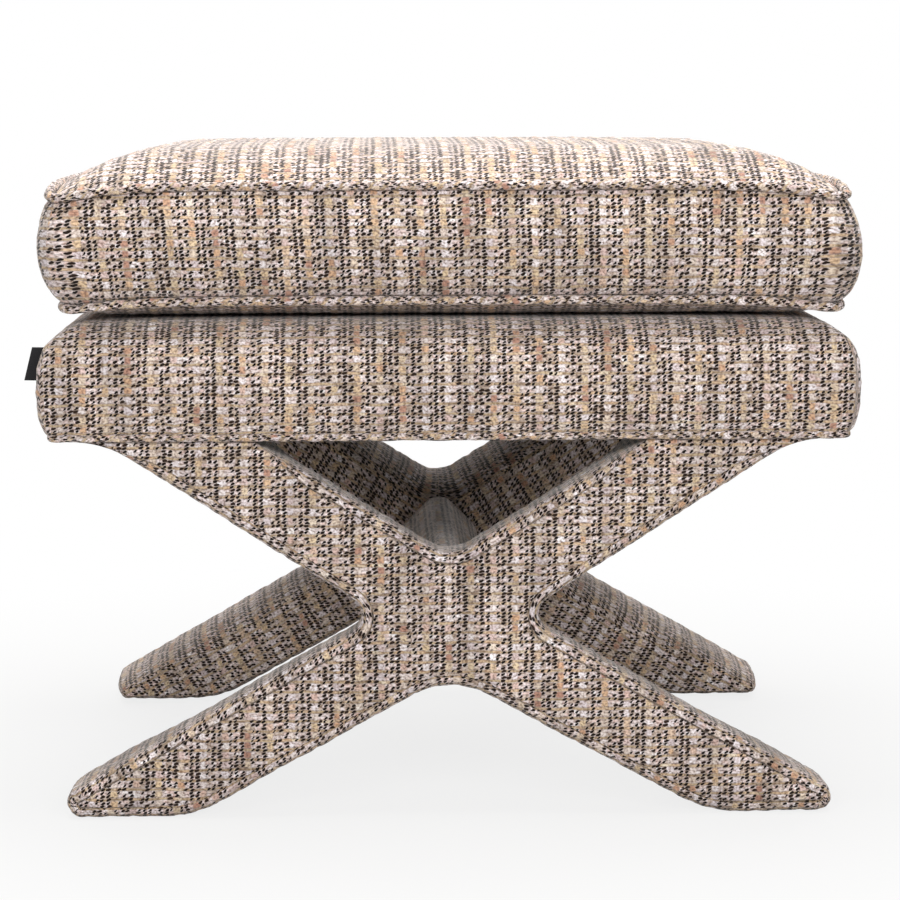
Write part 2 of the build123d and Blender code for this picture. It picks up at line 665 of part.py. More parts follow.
with BuildPart() as dust_cover:
    with BuildSketch(Plane.XY.offset(PLATFORM_BOTTOM)):
        Rectangle(2 * (RAIL_X - DUST_COVER_MARGIN), 2 * (RAIL_Y - DUST_COVER_MARGIN))
        with Locations(*ARM_BOLTS):
            Circle(BOLT_HOLE_RADIUS, mode=Mode.SUBTRACT)
    extrude(amount=DUST_COVER)
save(dust_cover, "dust_cover")

with BuildPart() as side_tab:
    with Locations((-PLATFORM_WIDTH / 2 - PLATFORM_BULGE, TAB_SETBACK - PLATFORM_DEPTH / 2, TAB_TOP)):
        Box(2 * TAB_REACH, TAB_THICKNESS, TAB_HEIGHT, align=FROM_ABOVE)
    loft_platform_side(COVER_BOTTOM, -LAYER_GAP, mode=Mode.SUBTRACT)
save(side_tab, "side_tab")

# Loose cushion: foam, fibre wrap, three fabric panels and the cords in their seams
with BuildPart() as cushion_foam:
    loft_boxing(FOAM_INSET)
    loft_crown(top_arc, FOAM_INSET)
save(cushion_foam, "cushion_foam")

with BuildPart() as cushion_wrap:
    loft_boxing(FABRIC + LAYER_GAP)
    loft_crown(top_arc, FABRIC + LAYER_GAP)
    loft_crown(under_arc, FABRIC + LAYER_GAP)
    add(cushion_foam.part, mode=Mode.SUBTRACT)
save(cushion_wrap, "cushion_wrap")

for panel_name, arc in (("cushion_top_panel", top_arc), ("cushion_bottom_panel", under_arc)):
    with BuildPart() as panel:
        loft_crown(arc, 0.0)
        loft_crown(arc, FABRIC, mode=Mode.SUBTRACT)
    save(panel, panel_name)

REAR_FACE = CUSHION_DEPTH / 2 + BOXING_BULGE
ZIP_DEPTH = 2 * BOXING_BULGE
with BuildPart() as cushion_boxing:
    loft_boxing(0.0)
    loft_boxing(FABRIC, mode=Mode.SUBTRACT)
    with Locations((0, REAR_FACE, boxing_arc.level)):
        Box(ZIP_LENGTH, ZIP_DEPTH, ZIP_WIDTH, mode=Mode.SUBTRACT)
save(cushion_boxing, "cushion_boxing")

for piping_name, arc in (("cushion_top_piping", top_arc), ("cushion_bottom_piping", under_arc)):
    cord_reach, cord_height = nestle(boxing_arc, arc, PIPING_RADIUS + PIPING_GAP)
    with BuildPart() as piping:
        with BuildLine(Plane.XY.offset(cord_height)) as seam:
            draw_pillow(
                CUSHION_WIDTH + 2 * cord_reach,
                CUSHION_DEPTH + 2 * cord_reach,
                CUSHION_CORNER + cord_reach,
                CUSHION_DRAW,
            )
        seam_wire = seam.wires()[0]
        with BuildSketch(Plane(origin=seam_wire @ 0, z_dir=seam_wire % 0)):
            Circle(PIPING_RADIUS)
        sweep(path=seam_wire)
    save(piping, piping_name)

# Zip in the rear boxing: tapes in the slot, the coil on them and the slider over the coil
with BuildPart() as zip_tapes:
    loft_boxing(0.0)
    loft_boxing(FABRIC, mode=Mode.SUBTRACT)
    with Locations((0, REAR_FACE, boxing_arc.level)):
        Box(ZIP_LENGTH - 2 * ZIP_GAP, ZIP_DEPTH, ZIP_WIDTH - 2 * ZIP_GAP, mode=Mode.INTERSECT)
save(zip_tapes, "zip_tapes")

with BuildPart() as zip_coil:
    loft_boxing(-ZIP_GAP - ZIP_COIL_HEIGHT)
    loft_boxing(-ZIP_GAP, mode=Mode.SUBTRACT)
    with Locations((0, REAR_FACE, boxing_arc.level)):
        Box(ZIP_LENGTH - 2 * ZIP_GAP, ZIP_DEPTH, ZIP_COIL_WIDTH, mode=Mode.INTERSECT)
save(zip_coil, "zip_coil")

with BuildPart() as zip_slider:
    slider_x = (ZIP_LENGTH - SLIDER_LENGTH) / 2 - ZIP_GAP
    with BuildSketch(Plane.XZ.offset(-REAR_FACE)):
        with Locations((slider_x, boxing_arc.level)):
            Trapezoid(SLIDER_WIDTH, SLIDER_LENGTH, SLIDER_TAPER, rotation=90)
    extrude(amount=-(ZIP_GAP + ZIP_COIL_HEIGHT + SLIDER_GAP + SLIDER_HEIGHT))
    loft_boxing(-ZIP_GAP - ZIP_COIL_HEIGHT - SLIDER_GAP, mode=Mode.SUBTRACT)
save(zip_slider, "zip_slider")
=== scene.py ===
from functools import partial

import bmesh
import bpy
import numpy as np
from mathutils import Matrix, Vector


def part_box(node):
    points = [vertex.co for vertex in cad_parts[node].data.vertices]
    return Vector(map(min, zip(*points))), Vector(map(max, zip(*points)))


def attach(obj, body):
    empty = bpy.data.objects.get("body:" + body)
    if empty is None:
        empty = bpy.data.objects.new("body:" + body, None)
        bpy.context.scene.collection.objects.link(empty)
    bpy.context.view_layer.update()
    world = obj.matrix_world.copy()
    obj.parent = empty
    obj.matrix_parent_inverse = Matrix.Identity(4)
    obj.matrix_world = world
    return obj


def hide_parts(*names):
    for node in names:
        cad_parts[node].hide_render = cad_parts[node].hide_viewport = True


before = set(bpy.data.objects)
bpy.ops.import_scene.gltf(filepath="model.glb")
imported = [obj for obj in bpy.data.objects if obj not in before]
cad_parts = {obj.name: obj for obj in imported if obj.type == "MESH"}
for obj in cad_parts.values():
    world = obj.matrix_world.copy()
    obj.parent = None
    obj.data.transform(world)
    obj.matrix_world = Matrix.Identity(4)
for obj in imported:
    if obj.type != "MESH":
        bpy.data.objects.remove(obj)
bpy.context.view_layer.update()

# Ottoman in one chunky tweed: a loose piped cushion, a padded platform and two padded X frames.
# Metres, X to the right, front at -Y, Z up from the floor.
MM = 0.001

# Weave of the tweed, in millimetres: one slub yarn and three dark columns make a group
GROUP = 16.1
WEFT = 7.1
SLUB_AT = -1.8
SLUB_HALF = 2.7
SLUB_LENGTH = 9.0
SLUB_RISE = 0.75
SWELL_SIZE = 38.0
SWELL_RISE = 0.9
NUB_RISE = 0.5
FULL_AT = 5.8
THIN_AT = 1.9
DOT_SWING = 0.5
DOT_HALF = 1.5

# Cushion: steps of its grid, and sizes in millimetres
CUSHION_NX = 222
CUSHION_NY = 174
SEAM_HALF_X = 281.0
SEAM_HALF_Y = 217.0
SEAM_CORNER = 16.0
SEAM_DRAW = 2.5
UNDER_IN = 5.0
UNDER_SHIFT = 2.5
TOP_SEAM = 453.0
UNDER_SEAM = 378.0
CORNER_DROOP = 10.88
BOXING_BULGE = 15.0
BOXING_ROWS = 34
TOP_RISE = 31.0
TOP_RUN = 90.0
DOME_SHARE = 0.1
UNDER_DROP = 16.5
UNDER_RUN = 45.0
CORD_RADIUS = 4.0
PIPING_RADIUS = 3.5
PIPING_REACH = 1.6
PIPING_STEPS = 16

# Platform, in millimetres
PLATFORM_HALF_X = 288.0
PLATFORM_HALF_Y = 224.0
PLATFORM_CORNER = 8.0
PLATFORM_DRAW = 0.01

# Side tab, zip and dust cover, in millimetres
TAB_ROOT = -283.0
TAB_FOLD = -296.0
TAB_BOTTOM = 318.0
TAB_TOP = 341.5
TAB_LEAN = 6.0
TAB_BEND = 1.5
STITCH_STEP = 3.0
COIL_PITCH = 2.0
COVER_SAG = 3.0
STAPLE_STEP = 40.0

# X frames and stretcher bar: sizes in millimetres, and steps of their grids
FRAME_MIDDLE = 179.0
FRAME_HALF = 37.0
EDGE_ROUNDING = 8.0
INNER_RUN = 58.0
INNER_DROP = 20.0
TOE_DROP = 8.0
CROSSING = 147.4
ARM_INNER = 142.0
ARM_OUTER = 274.0
ARM_TOP = 276.3
TOE_FLAT = 258.0
SOLE = 0.2
BAR_HALF = 141.5
BAR_FLAT = 12.0
BAR_ROUND = 15.0
BAR_RELIEF = 0.4
ARM_STEPS = 104
END_HALF_STEPS = 18
GUSSET_ROWS = 10

rng = np.random.default_rng(11)
lattice = rng.random((128, 128))


def ease(share):
    """Smooth step: 0 below 0, 1 above 1, and an S curve between."""
    share = np.clip(share, 0, 1)
    return share * share * (3 - 2 * share)


def drift(a, b):
    """Smooth noise from 0 to 1: the four lattice values round a point, blended by smooth steps."""
    ia = np.floor(a).astype(int)
    ib = np.floor(b).astype(int)
    fa = ease(a - ia)
    fb = ease(b - ib)
    low = (1 - fa) * lattice[ia % 128, ib % 128] + fa * lattice[(ia + 1) % 128, ib % 128]
    high = (1 - fa) * lattice[ia % 128, (ib + 1) % 128] + fa * lattice[(ia + 1) % 128, (ib + 1) % 128]
    return (1 - fb) * low + fb * high


def cloth_height(weave):
    """Height of the cloth: a ridge along each slub yarn, thick and thin by turns, nubs and a slow swell."""
    u, v = weave[..., 0], weave[..., 1]
    group = np.round(u / GROUP)
    off = (u - group * GROUP - SLUB_AT) / SLUB_HALF
    thick = drift(group * 3.7 + 0.5, v / SLUB_LENGTH)
    slub = SLUB_RISE * np.exp(-off * off) * (0.25 + 0.75 * thick)
    nubs = NUB_RISE * (drift(u / 3.1, v / 3.4) - 0.5)
    swell = SWELL_RISE * (drift(u / SWELL_SIZE, v / SWELL_SIZE) - 0.5)
    return slub + nubs + swell


def fade(count, cells):
    """Weight along a grid direction: 0 at both ends, rising smoothly to 1 within some cells."""
    low = np.clip(np.arange(count) / cells, 0, 1)
    return ease(low * low[::-1])


def grid_normals(points):
    """Unit normals of a grid: the cross product of its two directions."""
    normal = np.cross(np.gradient(points, axis=0), np.gradient(points, axis=1))
    return normal / np.maximum(np.linalg.norm(normal, axis=2, keepdims=True), 1e-9)


def lift(points, weave, weight, outward=1):
    """Grid raised along its normals by the height of the cloth."""
    return points + outward * grid_normals(points) * (weight * cloth_height(weave))[..., None]


def gather(*parts):
    """Grid of points from its coordinates, each spread over the whole grid."""
    return np.stack(np.broadcast_arrays(*parts), axis=-1)


def lengths(path):
    """Length gone along a path at each of its points."""
    return np.concatenate([[0], np.cumsum(np.linalg.norm(np.diff(path, axis=0), axis=1))])


def resample(path, steps):
    """Path divided into equal steps of its length."""
    gone = lengths(path)
    marks = np.linspace(0, gone[-1], steps + 1)
    return gather(*(np.interp(marks, gone, part) for part in path.T))


def rounded(corners, radii):
    """Open path through corners, each inner one rounded by an arc that touches both of its runs."""
    corners = np.array(corners, float)
    parts = [corners[:1]]
    for before, here, after, radius in zip(corners, corners[1:], corners[2:], radii):
        back = (before - here) / np.linalg.norm(before - here)
        on = (after - here) / np.linalg.norm(after - here)
        half = np.arccos(np.clip(back @ on, -1, 1)) / 2
        middle = (back + on) / np.linalg.norm(back + on)
        centre = here + middle * radius / np.sin(half)
        start = here + back * radius / np.tan(half) - centre
        stop = here + on * radius / np.tan(half) - centre
        share = np.linspace(0, 1, 24)[:, None]
        sweep = np.pi - 2 * half
        arc = (np.sin((1 - share) * sweep) * start + np.sin(share * sweep) * stop) / np.sin(sweep)
        parts.append(centre + arc)
    return np.concatenate([*parts, corners[-1:]])


def coons(first, last, near, far):
    """Grid between four edges: the ruled surfaces between facing edges, less the blend of the corners."""
    s = np.linspace(0, 1, len(first))[:, None, None]
    t = np.linspace(0, 1, len(near))[None, :, None]
    across = (1 - t) * first[:, None] + t * last[:, None]
    along = (1 - s) * near[None] + s * far[None]
    corners = (1 - s) * ((1 - t) * near[0] + t * near[-1]) + s * ((1 - t) * far[0] + t * far[-1])
    return across + along - corners


def seam_sides(half_x, half_y, corner, draw):
    """Four sides of a seam line, front, right, rear and left, each from corner to corner.
    The sides draw in between the corners by a parabola."""
    turn = np.linspace(np.pi / 4, 0, 20)
    ax = half_x - corner
    ay = half_y - corner
    run_x = np.linspace(-ax, ax, 160)
    run_y = np.linspace(-ay, ay, 160)
    first = gather(-ax - corner * np.sin(turn), -ay - corner * np.cos(turn))
    run = gather(run_x, -half_y + draw * (1 - (run_x / ax) ** 2))
    front = np.concatenate([first, run[1:-1], first[::-1] * (-1, 1)])
    first = gather(ax + corner * np.cos(turn), -ay - corner * np.sin(turn))
    run = gather(half_x - draw * (1 - (run_y / ay) ** 2), run_y)
    right = np.concatenate([first, run[1:-1], first[::-1] * (1, -1)])
    front = resample(front, CUSHION_NX)
    right = resample(right, CUSHION_NY)
    return front, right, -front, -right


def panel_between(sides):
    """Flat grid between the four sides of a seam line."""
    front, right_side, rear, left = sides
    return coons(front, rear[::-1], left[::-1], right_side)


def close_loop(sides):
    """One closed loop from four sides that follow each other, its last point the same as its first."""
    return np.concatenate([side[:-1] for side in sides] + [sides[0][:1]])


def loop_normals(loop):
    """Outward normals of a closed loop in a plane, for a loop that turns anticlockwise."""
    along = np.roll(loop[:-1], -1, axis=0) - np.roll(loop[:-1], 1, axis=0)
    normal = gather(along[:, 1], -along[:, 0])
    normal /= np.linalg.norm(normal, axis=1, keepdims=True)
    return np.concatenate([normal, normal[:1]])


def stand(flat, height):
    """Points of a plane at a height."""
    return np.concatenate([flat, np.broadcast_to(height, flat.shape[:-1])[..., None]], axis=-1)


def arc_rise(inside, run, rise):
    """Rise of an arc from 0 at the seam to the full rise at `run` inside it, level from there on."""
    radius = (run**2 + rise**2) / (2 * rise)
    left = np.clip(run - inside, 0, run)
    return np.sqrt(radius**2 - left**2) - (radius - rise)


def soft_crown(run, rise):
    """Height of a cushion panel over its seam: the arcs from both pairs of sides, joined by a
    rounded minimum, and a dome of a tenth of the rise."""
    across = np.linspace(0, 1, CUSHION_NX + 1)
    along = np.linspace(0, 1, CUSHION_NY + 1)
    rise_x = arc_rise(np.minimum(across, 1 - across) * 2 * SEAM_HALF_X, run, rise)[:, None] / rise
    rise_y = arc_rise(np.minimum(along, 1 - along) * 2 * SEAM_HALF_Y, run, rise)[None, :] / rise
    dome = DOME_SHARE * (np.outer(np.sin(np.pi * across), np.sin(np.pi * along)) - 1)
    return rise * (1 + dome) * np.clip(1 - ((1 - rise_x) ** 3 + (1 - rise_y) ** 3) ** (1 / 3), 0, 1)


def sew(name, panels, material, body, nodes):
    """One closed piece from grids of points in millimetres, each with its place in the weave.
    Grids become quads, and edges that meet are merged."""
    points = []
    weaves = []
    quads = []
    start = 0
    for grid, weave in panels:
        n, m = grid.shape[:2]
        index = start + np.arange(n * m).reshape(n, m)
        ring = [index[:-1, :-1], index[1:, :-1], index[1:, 1:], index[:-1, 1:]]
        quads.append(np.stack(ring, axis=-1).reshape(-1, 4))
        points.append(grid.reshape(-1, 3))
        weaves.append(weave.reshape(-1, 2))
        start += n * m
    points = np.concatenate(points) * MM
    weaves = np.concatenate(weaves) * MM
    quads = np.concatenate(quads)
    mesh = bpy.data.meshes.new(name)
    mesh.vertices.add(len(points))
    mesh.vertices.foreach_set("co", points.astype(np.float32).ravel())
    mesh.loops.add(quads.size)
    mesh.loops.foreach_set("vertex_index", quads.astype(np.int32).ravel())
    mesh.polygons.add(len(quads))
    mesh.polygons.foreach_set("loop_start", np.arange(0, quads.size, 4, dtype=np.int32))
    mesh.update(calc_edges=True)
    layer = mesh.uv_layers.new(name="weave")
    layer.uv.foreach_set("vector", weaves[quads.ravel()].astype(np.float32).ravel())
    work = bmesh.new()
    work.from_mesh(mesh)
    bmesh.ops.remove_doubles(work, verts=work.verts, dist=2e-5)
    bmesh.ops.recalc_face_normals(work, faces=work.faces)
    work.to_mesh(mesh)
    work.free()
    mesh.polygons.foreach_set("use_smooth", np.ones(len(mesh.polygons), bool))
    mesh.update()
    piece = bpy.data.objects.new(name, mesh)
    bpy.context.scene.collection.objects.link(piece)
    mesh.materials.append(material)
    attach(piece, body)
    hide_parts(*nodes)
    return piece


# Kinds of shader node, and noise in a plane
MATH = "ShaderNodeMath"
VECTOR = "ShaderNodeVectorMath"
NOISE = "ShaderNodeTexNoise"
RAMP = "ShaderNodeValToRGB"
SPLIT = "ShaderNodeSeparateXYZ"
JOIN = "ShaderNodeCombineXYZ"
COORDS = "ShaderNodeTexCoord"
BUMP = "ShaderNodeBump"
SURFACE = "ShaderNodeBsdfPrincipled"
MIX = "ShaderNodeMix"
DICE = "ShaderNodeTexWhiteNoise"
UV = "ShaderNodeUVMap"
FLAT = {"noise_dimensions": "2D"}


def colour(code):
    """sRGB hex code as linear red, green, blue and full cover."""
    s = np.array([int(code[k : k + 2], 16) for k in (1, 3, 5)]) / 255
    linear = np.where(s <= 0.04045, s / 12.92, ((s + 0.055) / 1.055) ** 2.4)
    return (*linear.tolist(), 1.0)


def add(tree, kind, inputs=(), operation=None, out=0, **settings):
    """Add a node with its settings, feed its inputs from sockets or values, and give one of its outputs."""
    made = tree.nodes.new(kind)
    if operation:
        made.operation = operation
    for key, value in settings.items():
        setattr(made, key, value)
    named = inputs.items() if isinstance(inputs, dict) else enumerate(inputs)
    for key, value in named:
        if isinstance(value, bpy.types.NodeSocket):
            tree.links.new(value, made.inputs[key])
        else:
            made.inputs[key].default_value = value
    return made.outputs[out]


def fill_ramp(socket, stops):
    """Give the ramp behind a colour socket its stops, pairs of place and hex code."""
    ramp = socket.node.color_ramp
    while len(ramp.elements) < len(stops):
        ramp.elements.new(0.5)
    for element, (place, code) in zip(ramp.elements, stops):
        element.position = place
        element.color = colour(code)
    return socket


def new_material(name):
    """Empty node material and its node adder."""
    material = bpy.data.materials.new(name)
    material.use_nodes = True
    material.node_tree.nodes.clear()
    return material, partial(add, material.node_tree)


def finish_material(material, shader):
    """Feed the surface of a material from its shader socket."""
    output = material.node_tree.nodes.new("ShaderNodeOutputMaterial")
    material.node_tree.links.new(shader, output.inputs["Surface"])
    return material


# Wool and cotton boucle tweed, woven: three picks in 7 mm, one khaki and two pale. Every 16 mm a soft
# slub yarn floats over the pale picks as puffs. Beside it one thin and two full columns of black yarn lean
# from pick to pick. No gloss, a sheen of loose fibre.
def tweed_material():
    material, n = new_material("boucle_tweed")
    weave = n(UV, uv_map="weave")
    place = n(VECTOR, (weave, (1000, 1000, 1000)), "MULTIPLY")
    # Yarns wander by a few tenths of a millimetre over 20 mm
    slow = n(VECTOR, (place, (0.06, 0.045, 1)), "MULTIPLY")
    wander = n(NOISE, {"Vector": slow, "Scale": 1.0, "Detail": 1.0}, out="Color")
    wander = n(VECTOR, (wander, (0.5, 0.5, 0.5)), "SUBTRACT")
    wander = n(VECTOR, (wander, (1.7, 3.4, 0)), "MULTIPLY")
    place = n(VECTOR, (place, wander), "ADD")
    u = n(SPLIT, (place,))
    v = u.node.outputs["Y"]
    group = n(MATH, (n(MATH, (u, GROUP), "DIVIDE"),), "ROUND")
    off = n(MATH, (u, n(MATH, (group, GROUP), "MULTIPLY")), "SUBTRACT")
    picks = n(MATH, (v, 3 / WEFT), "MULTIPLY")
    pick = n(MATH, (picks,), "FLOOR")
    level = n(MATH, (n(MATH, (picks,), "FRACT"), -0.5), "ADD")
    repeats = n(MATH, (v, WEFT), "DIVIDE")
    repeat = n(MATH, (repeats,), "FLOOR")
    turn = n(MATH, (n(MATH, (repeats,), "FRACT"), -2 / 3), "ADD")
    is_khaki = n(MATH, (turn, -1 / 3), "LESS_THAN")

    # Black columns: full at -5.8 and 5.8 mm from the middle of the group, thin at 1.9 mm
    past_slub = n(MATH, (off, (THIN_AT - FULL_AT) / 2), "GREATER_THAN")
    past_thin = n(MATH, (off, (THIN_AT + FULL_AT) / 2), "GREATER_THAN")
    centre = n(MATH, (past_slub, FULL_AT + THIN_AT, -FULL_AT), "MULTIPLY_ADD")
    centre = n(MATH, (past_thin, FULL_AT - THIN_AT, centre), "MULTIPLY_ADD")
    is_thin = n(MATH, (past_slub, past_thin), "SUBTRACT")
    column = n(MATH, (n(MATH, (group, 3.0, past_slub), "MULTIPLY_ADD"), past_thin), "ADD")
    cell = n(JOIN, (column, pick, 0.0))
    cell_dice = n(DICE, {"Vector": cell}, **FLAT, out="Color")
    dice_a = n("ShaderNodeSeparateColor", (cell_dice,))
    dice_b = dice_a.node.outputs["Green"]
    dice_c = dice_a.node.outputs["Blue"]
    # A leaning dash at each pick, left and right by turns
    side = n(MATH, (n(MATH, (pick, column), "ADD"), 2.0), "FLOORED_MODULO")
    swing = n(MATH, (side, 2 * DOT_SWING, -DOT_SWING), "MULTIPLY_ADD")
    angle = n(MATH, (level, np.pi), "MULTIPLY")
    near = n(MATH, (angle,), "COSINE")
    lean = n(MATH, (n(MATH, (angle,), "SINE"), DOT_SWING * 3 * np.pi / WEFT), "MULTIPLY")
    steep = n(MATH, (n(MATH, (lean, lean, 1.0), "MULTIPLY_ADD"),), "SQRT")
    beside = n(MATH, (n(MATH, (off, centre), "SUBTRACT"), n(MATH, (swing, near), "MULTIPLY")), "SUBTRACT")
    beside = n(MATH, (n(MATH, (dice_c, -0.5, 0.25), "MULTIPLY_ADD"), beside), "ADD")
    beside = n(MATH, (level, -1.5, beside), "MULTIPLY_ADD")
    beside = n(MATH, (n(MATH, (beside,), "ABSOLUTE"), steep), "DIVIDE")
    half = n(MATH, (is_thin, -0.35, DOT_HALF), "MULTIPLY_ADD")
    half = n(MATH, (half, n(MATH, (near, 0.95, 0.08), "MULTIPLY_ADD")), "MULTIPLY")
    half = n(MATH, (half, n(MATH, (dice_a, 0.7, 0.6), "MULTIPLY_ADD")), "MULTIPLY")
    ragged = n(NOISE, {"Vector": place, "Scale": 0.9, "Detail": 1.0}, **FLAT)
    outside = n(MATH, (ragged, 1.1, n(MATH, (beside, half), "SUBTRACT")), "MULTIPLY_ADD")
    dark = n(MATH, (n(MATH, (0.55, outside), "SUBTRACT"), 2.6, 0.5), "MULTIPLY_ADD", use_clamp=True)
    # One dash of three is often missing, in some places of a column more than in others
    weak_pick = n(MATH, (n(MATH, (column, 2.0, pick), "MULTIPLY_ADD"), 3.0), "FLOORED_MODULO")
    weak_pick = n(MATH, (weak_pick, 0.5), "LESS_THAN")
    run_place = n(JOIN, (n(MATH, (column, 2.7), "MULTIPLY"), n(MATH, (v, 0.03), "MULTIPLY"), 0.0))
    run = n(NOISE, {"Vector": run_place, "Scale": 1.0, "Detail": 1.0}, **FLAT)
    rare = n(MATH, (run, 2.4, -0.7), "MULTIPLY_ADD")
    rare = n(MATH, (weak_pick, rare, n(MATH, (is_thin, 0.26, 0.04), "MULTIPLY_ADD")), "MULTIPLY_ADD")
    dark = n(MATH, (dark, n(MATH, (dice_b, rare), "GREATER_THAN")), "MULTIPLY")

    # Weft: each float between two columns has a colour of its own, and painted shade darkens each pick
    # towards its edges, where the picks meet
    fibre_place = n(VECTOR, (place, (0.5, 0.62, 1)), "MULTIPLY")
    fibre = n(NOISE, {"Vector": fibre_place, "Scale": 1.0, "Detail": 2.0}, **FLAT)
    tone = fill_ramp(n(RAMP, (fibre,)), [(0.28, "#a59a93"), (0.46, "#e0dad6"), (0.64, "#ffffff")])
    float_cell = n(JOIN, (n(MATH, (column, 0.37), "ADD"), pick, 3.0))
    float_dice = n(DICE, {"Vector": float_cell}, noise_dimensions="3D")
    patch_place = n(VECTOR, (place, (0.05, 0.1, 1)), "MULTIPLY")
    patch = n(NOISE, {"Vector": patch_place, "Scale": 1.0, "Detail": 2.0}, **FLAT)
    mood = n(MATH, (float_dice, 0.55, n(MATH, (patch, 0.9, -0.22), "MULTIPLY_ADD")), "MULTIPLY_ADD")
    ground = fill_ramp(n(RAMP, (mood,)), [
        (0.12, "#b3a092"), (0.3, "#d6c6bb"), (0.45, "#e2d5d5"), (0.6, "#ebdfdf"),
        (0.72, "#e2c9c2"), (0.86, "#fbf6f8")])
    khaki = fill_ramp(n(RAMP, (mood,)), [
        (0.12, "#867151"), (0.35, "#a8926c"), (0.55, "#c0aa83"), (0.75, "#d1b491"), (0.9, "#e0d0b3")])
    line = n(MATH, (patch, 2.4, 0.05), "MULTIPLY_ADD")
    line = n(MATH, (n(MATH, (level,), "ABSOLUTE"), -3.2, line), "MULTIPLY_ADD")
    line = n(MATH, (float_dice, 0.9, line), "MULTIPLY_ADD", use_clamp=True)
    line = n(MATH, (line, n(MATH, (is_khaki, 0.85), "MULTIPLY")), "MULTIPLY")
    pale = n(MIX, {0: line, 6: ground, 7: khaki}, data_type="RGBA", out=2)
    # Painted shade between the picks: the colour falls to half at each pick's edges; the same curve also
    # rounds the picks in the bump
    gap = n(MATH, (n(MATH, (n(MATH, (level, 2.0), "MULTIPLY"), 4.0), "POWER"), -0.5, 1.0), "MULTIPLY_ADD")
    pale = n(VECTOR, {0: n(VECTOR, (pale, tone), "MULTIPLY"), "Scale": gap}, "SCALE")

    # Slub yarn: a puff over two pale picks, its width and colour drifting along the yarn
    slub_place = n(JOIN, (
        n(MATH, (group, 5.37), "MULTIPLY"), n(MATH, (v, 1 / SLUB_LENGTH), "MULTIPLY"), 0.0))
    thick = n(NOISE, {"Vector": slub_place, "Scale": 1.0, "Detail": 1.0}, **FLAT)
    wide = n(MATH, (thick, 2.6, SLUB_HALF - 1.3), "MULTIPLY_ADD")
    puff_x = n(MATH, (n(MATH, (n(MATH, (off, SLUB_AT), "SUBTRACT"), wide), "DIVIDE"), 4.0), "POWER")
    puff_y = n(MATH, (n(MATH, (turn, 2.8), "MULTIPLY"), 4.0), "POWER")
    loose = n(MATH, (fibre, 2.2, 0.1), "MULTIPLY_ADD")
    puff = n(MATH, (n(MATH, (puff_x, puff_y), "ADD"), -1.0, loose), "MULTIPLY_ADD", use_clamp=True)
    puff_cell = n(JOIN, (group, repeat, 0.0))
    puff_dice = n(DICE, {"Vector": puff_cell}, **FLAT)
    yarn_place = n(JOIN, (
        n(MATH, (group, 3.91), "MULTIPLY"), n(MATH, (repeat, 0.22), "MULTIPLY"), 0.0))
    dye = n(NOISE, {"Vector": yarn_place, "Scale": 1.0, "Detail": 1.0}, **FLAT)
    dye = n(MATH, (puff_dice, 0.14, n(MATH, (dye, -0.07), "ADD")), "MULTIPLY_ADD")
    yarn = fill_ramp(n(RAMP, (dye,)), [
        (0.27, "#bd9381"), (0.34, "#dbb493"), (0.4, "#dfcaa9"), (0.46, "#e2d4cb"), (0.53, "#f3ecef"),
        (0.6, "#daced2"), (0.66, "#dfc1b7"), (0.72, "#dfc9a6"), (0.8, "#fbf7fa")])
    yarn = n(VECTOR, (yarn, tone), "MULTIPLY")
    pale = n(MIX, {0: puff, 6: pale, 7: yarn}, data_type="RGBA", out=2)
    ink = fill_ramp(n(RAMP, (dice_a,)), [(0.0, "#0c0807"), (0.7, "#19110d"), (1.0, "#2e211a")])
    mixed = n(MIX, {0: dark, 6: pale, 7: ink}, data_type="RGBA", out=2)
    # Lots of yarn differ a little: groups by some per cent, and stretches of about 20 by 70 mm
    lot = n(DICE, {"W": group}, noise_dimensions="1D")
    cloud_place = n(VECTOR, (place, (0.05, 0.014, 1)), "MULTIPLY")
    cloud = n(NOISE, {"Vector": cloud_place, "Scale": 1.0, "Detail": 1.0}, **FLAT)
    shade = n(MATH, (lot, 0.14, n(MATH, (cloud, 0.55, 0.7), "MULTIPLY_ADD")), "MULTIPLY_ADD")
    mixed = n(VECTOR, {0: mixed, "Scale": shade}, "SCALE")

    height = n(MATH, (puff, 0.8, n(MATH, (fibre, 0.9), "MULTIPLY")), "MULTIPLY_ADD")
    height = n(MATH, (gap, 0.5, height), "MULTIPLY_ADD")
    bump = n(BUMP, {"Strength": 0.7, "Distance": 0.0008, "Height": height})
    shader = n(SURFACE, {
        "Base Color": mixed, "Roughness": 0.95, "Specular IOR Level": 0.15, "Sheen Weight": 0.45,
        "Sheen Roughness": 0.4, "Sheen Tint": colour("#fbf7f4"), "Normal": bump})
    return finish_material(material, shader)


# Spun-bonded black polypropylene cloth, matt with a fine pressed dimple
def dust_cloth_material():
    material, n = new_material("spunbond_polypropylene")
    place = n(COORDS, out="Object")
    dimple = n("ShaderNodeTexVoronoi", {"Vector": place, "Scale": 600.0})
    shade = fill_ramp(n(RAMP, (dimple,)), [(0.0, "#0c0c0c"), (1.0, "#1d1c1b")])
    bump = n(BUMP, {"Strength": 0.4, "Distance": 0.0003, "Height": dimple})
    shader = n(SURFACE, {"Base Color": shade, "Roughness": 0.85, "Normal": bump})
    return finish_material(material, shader)


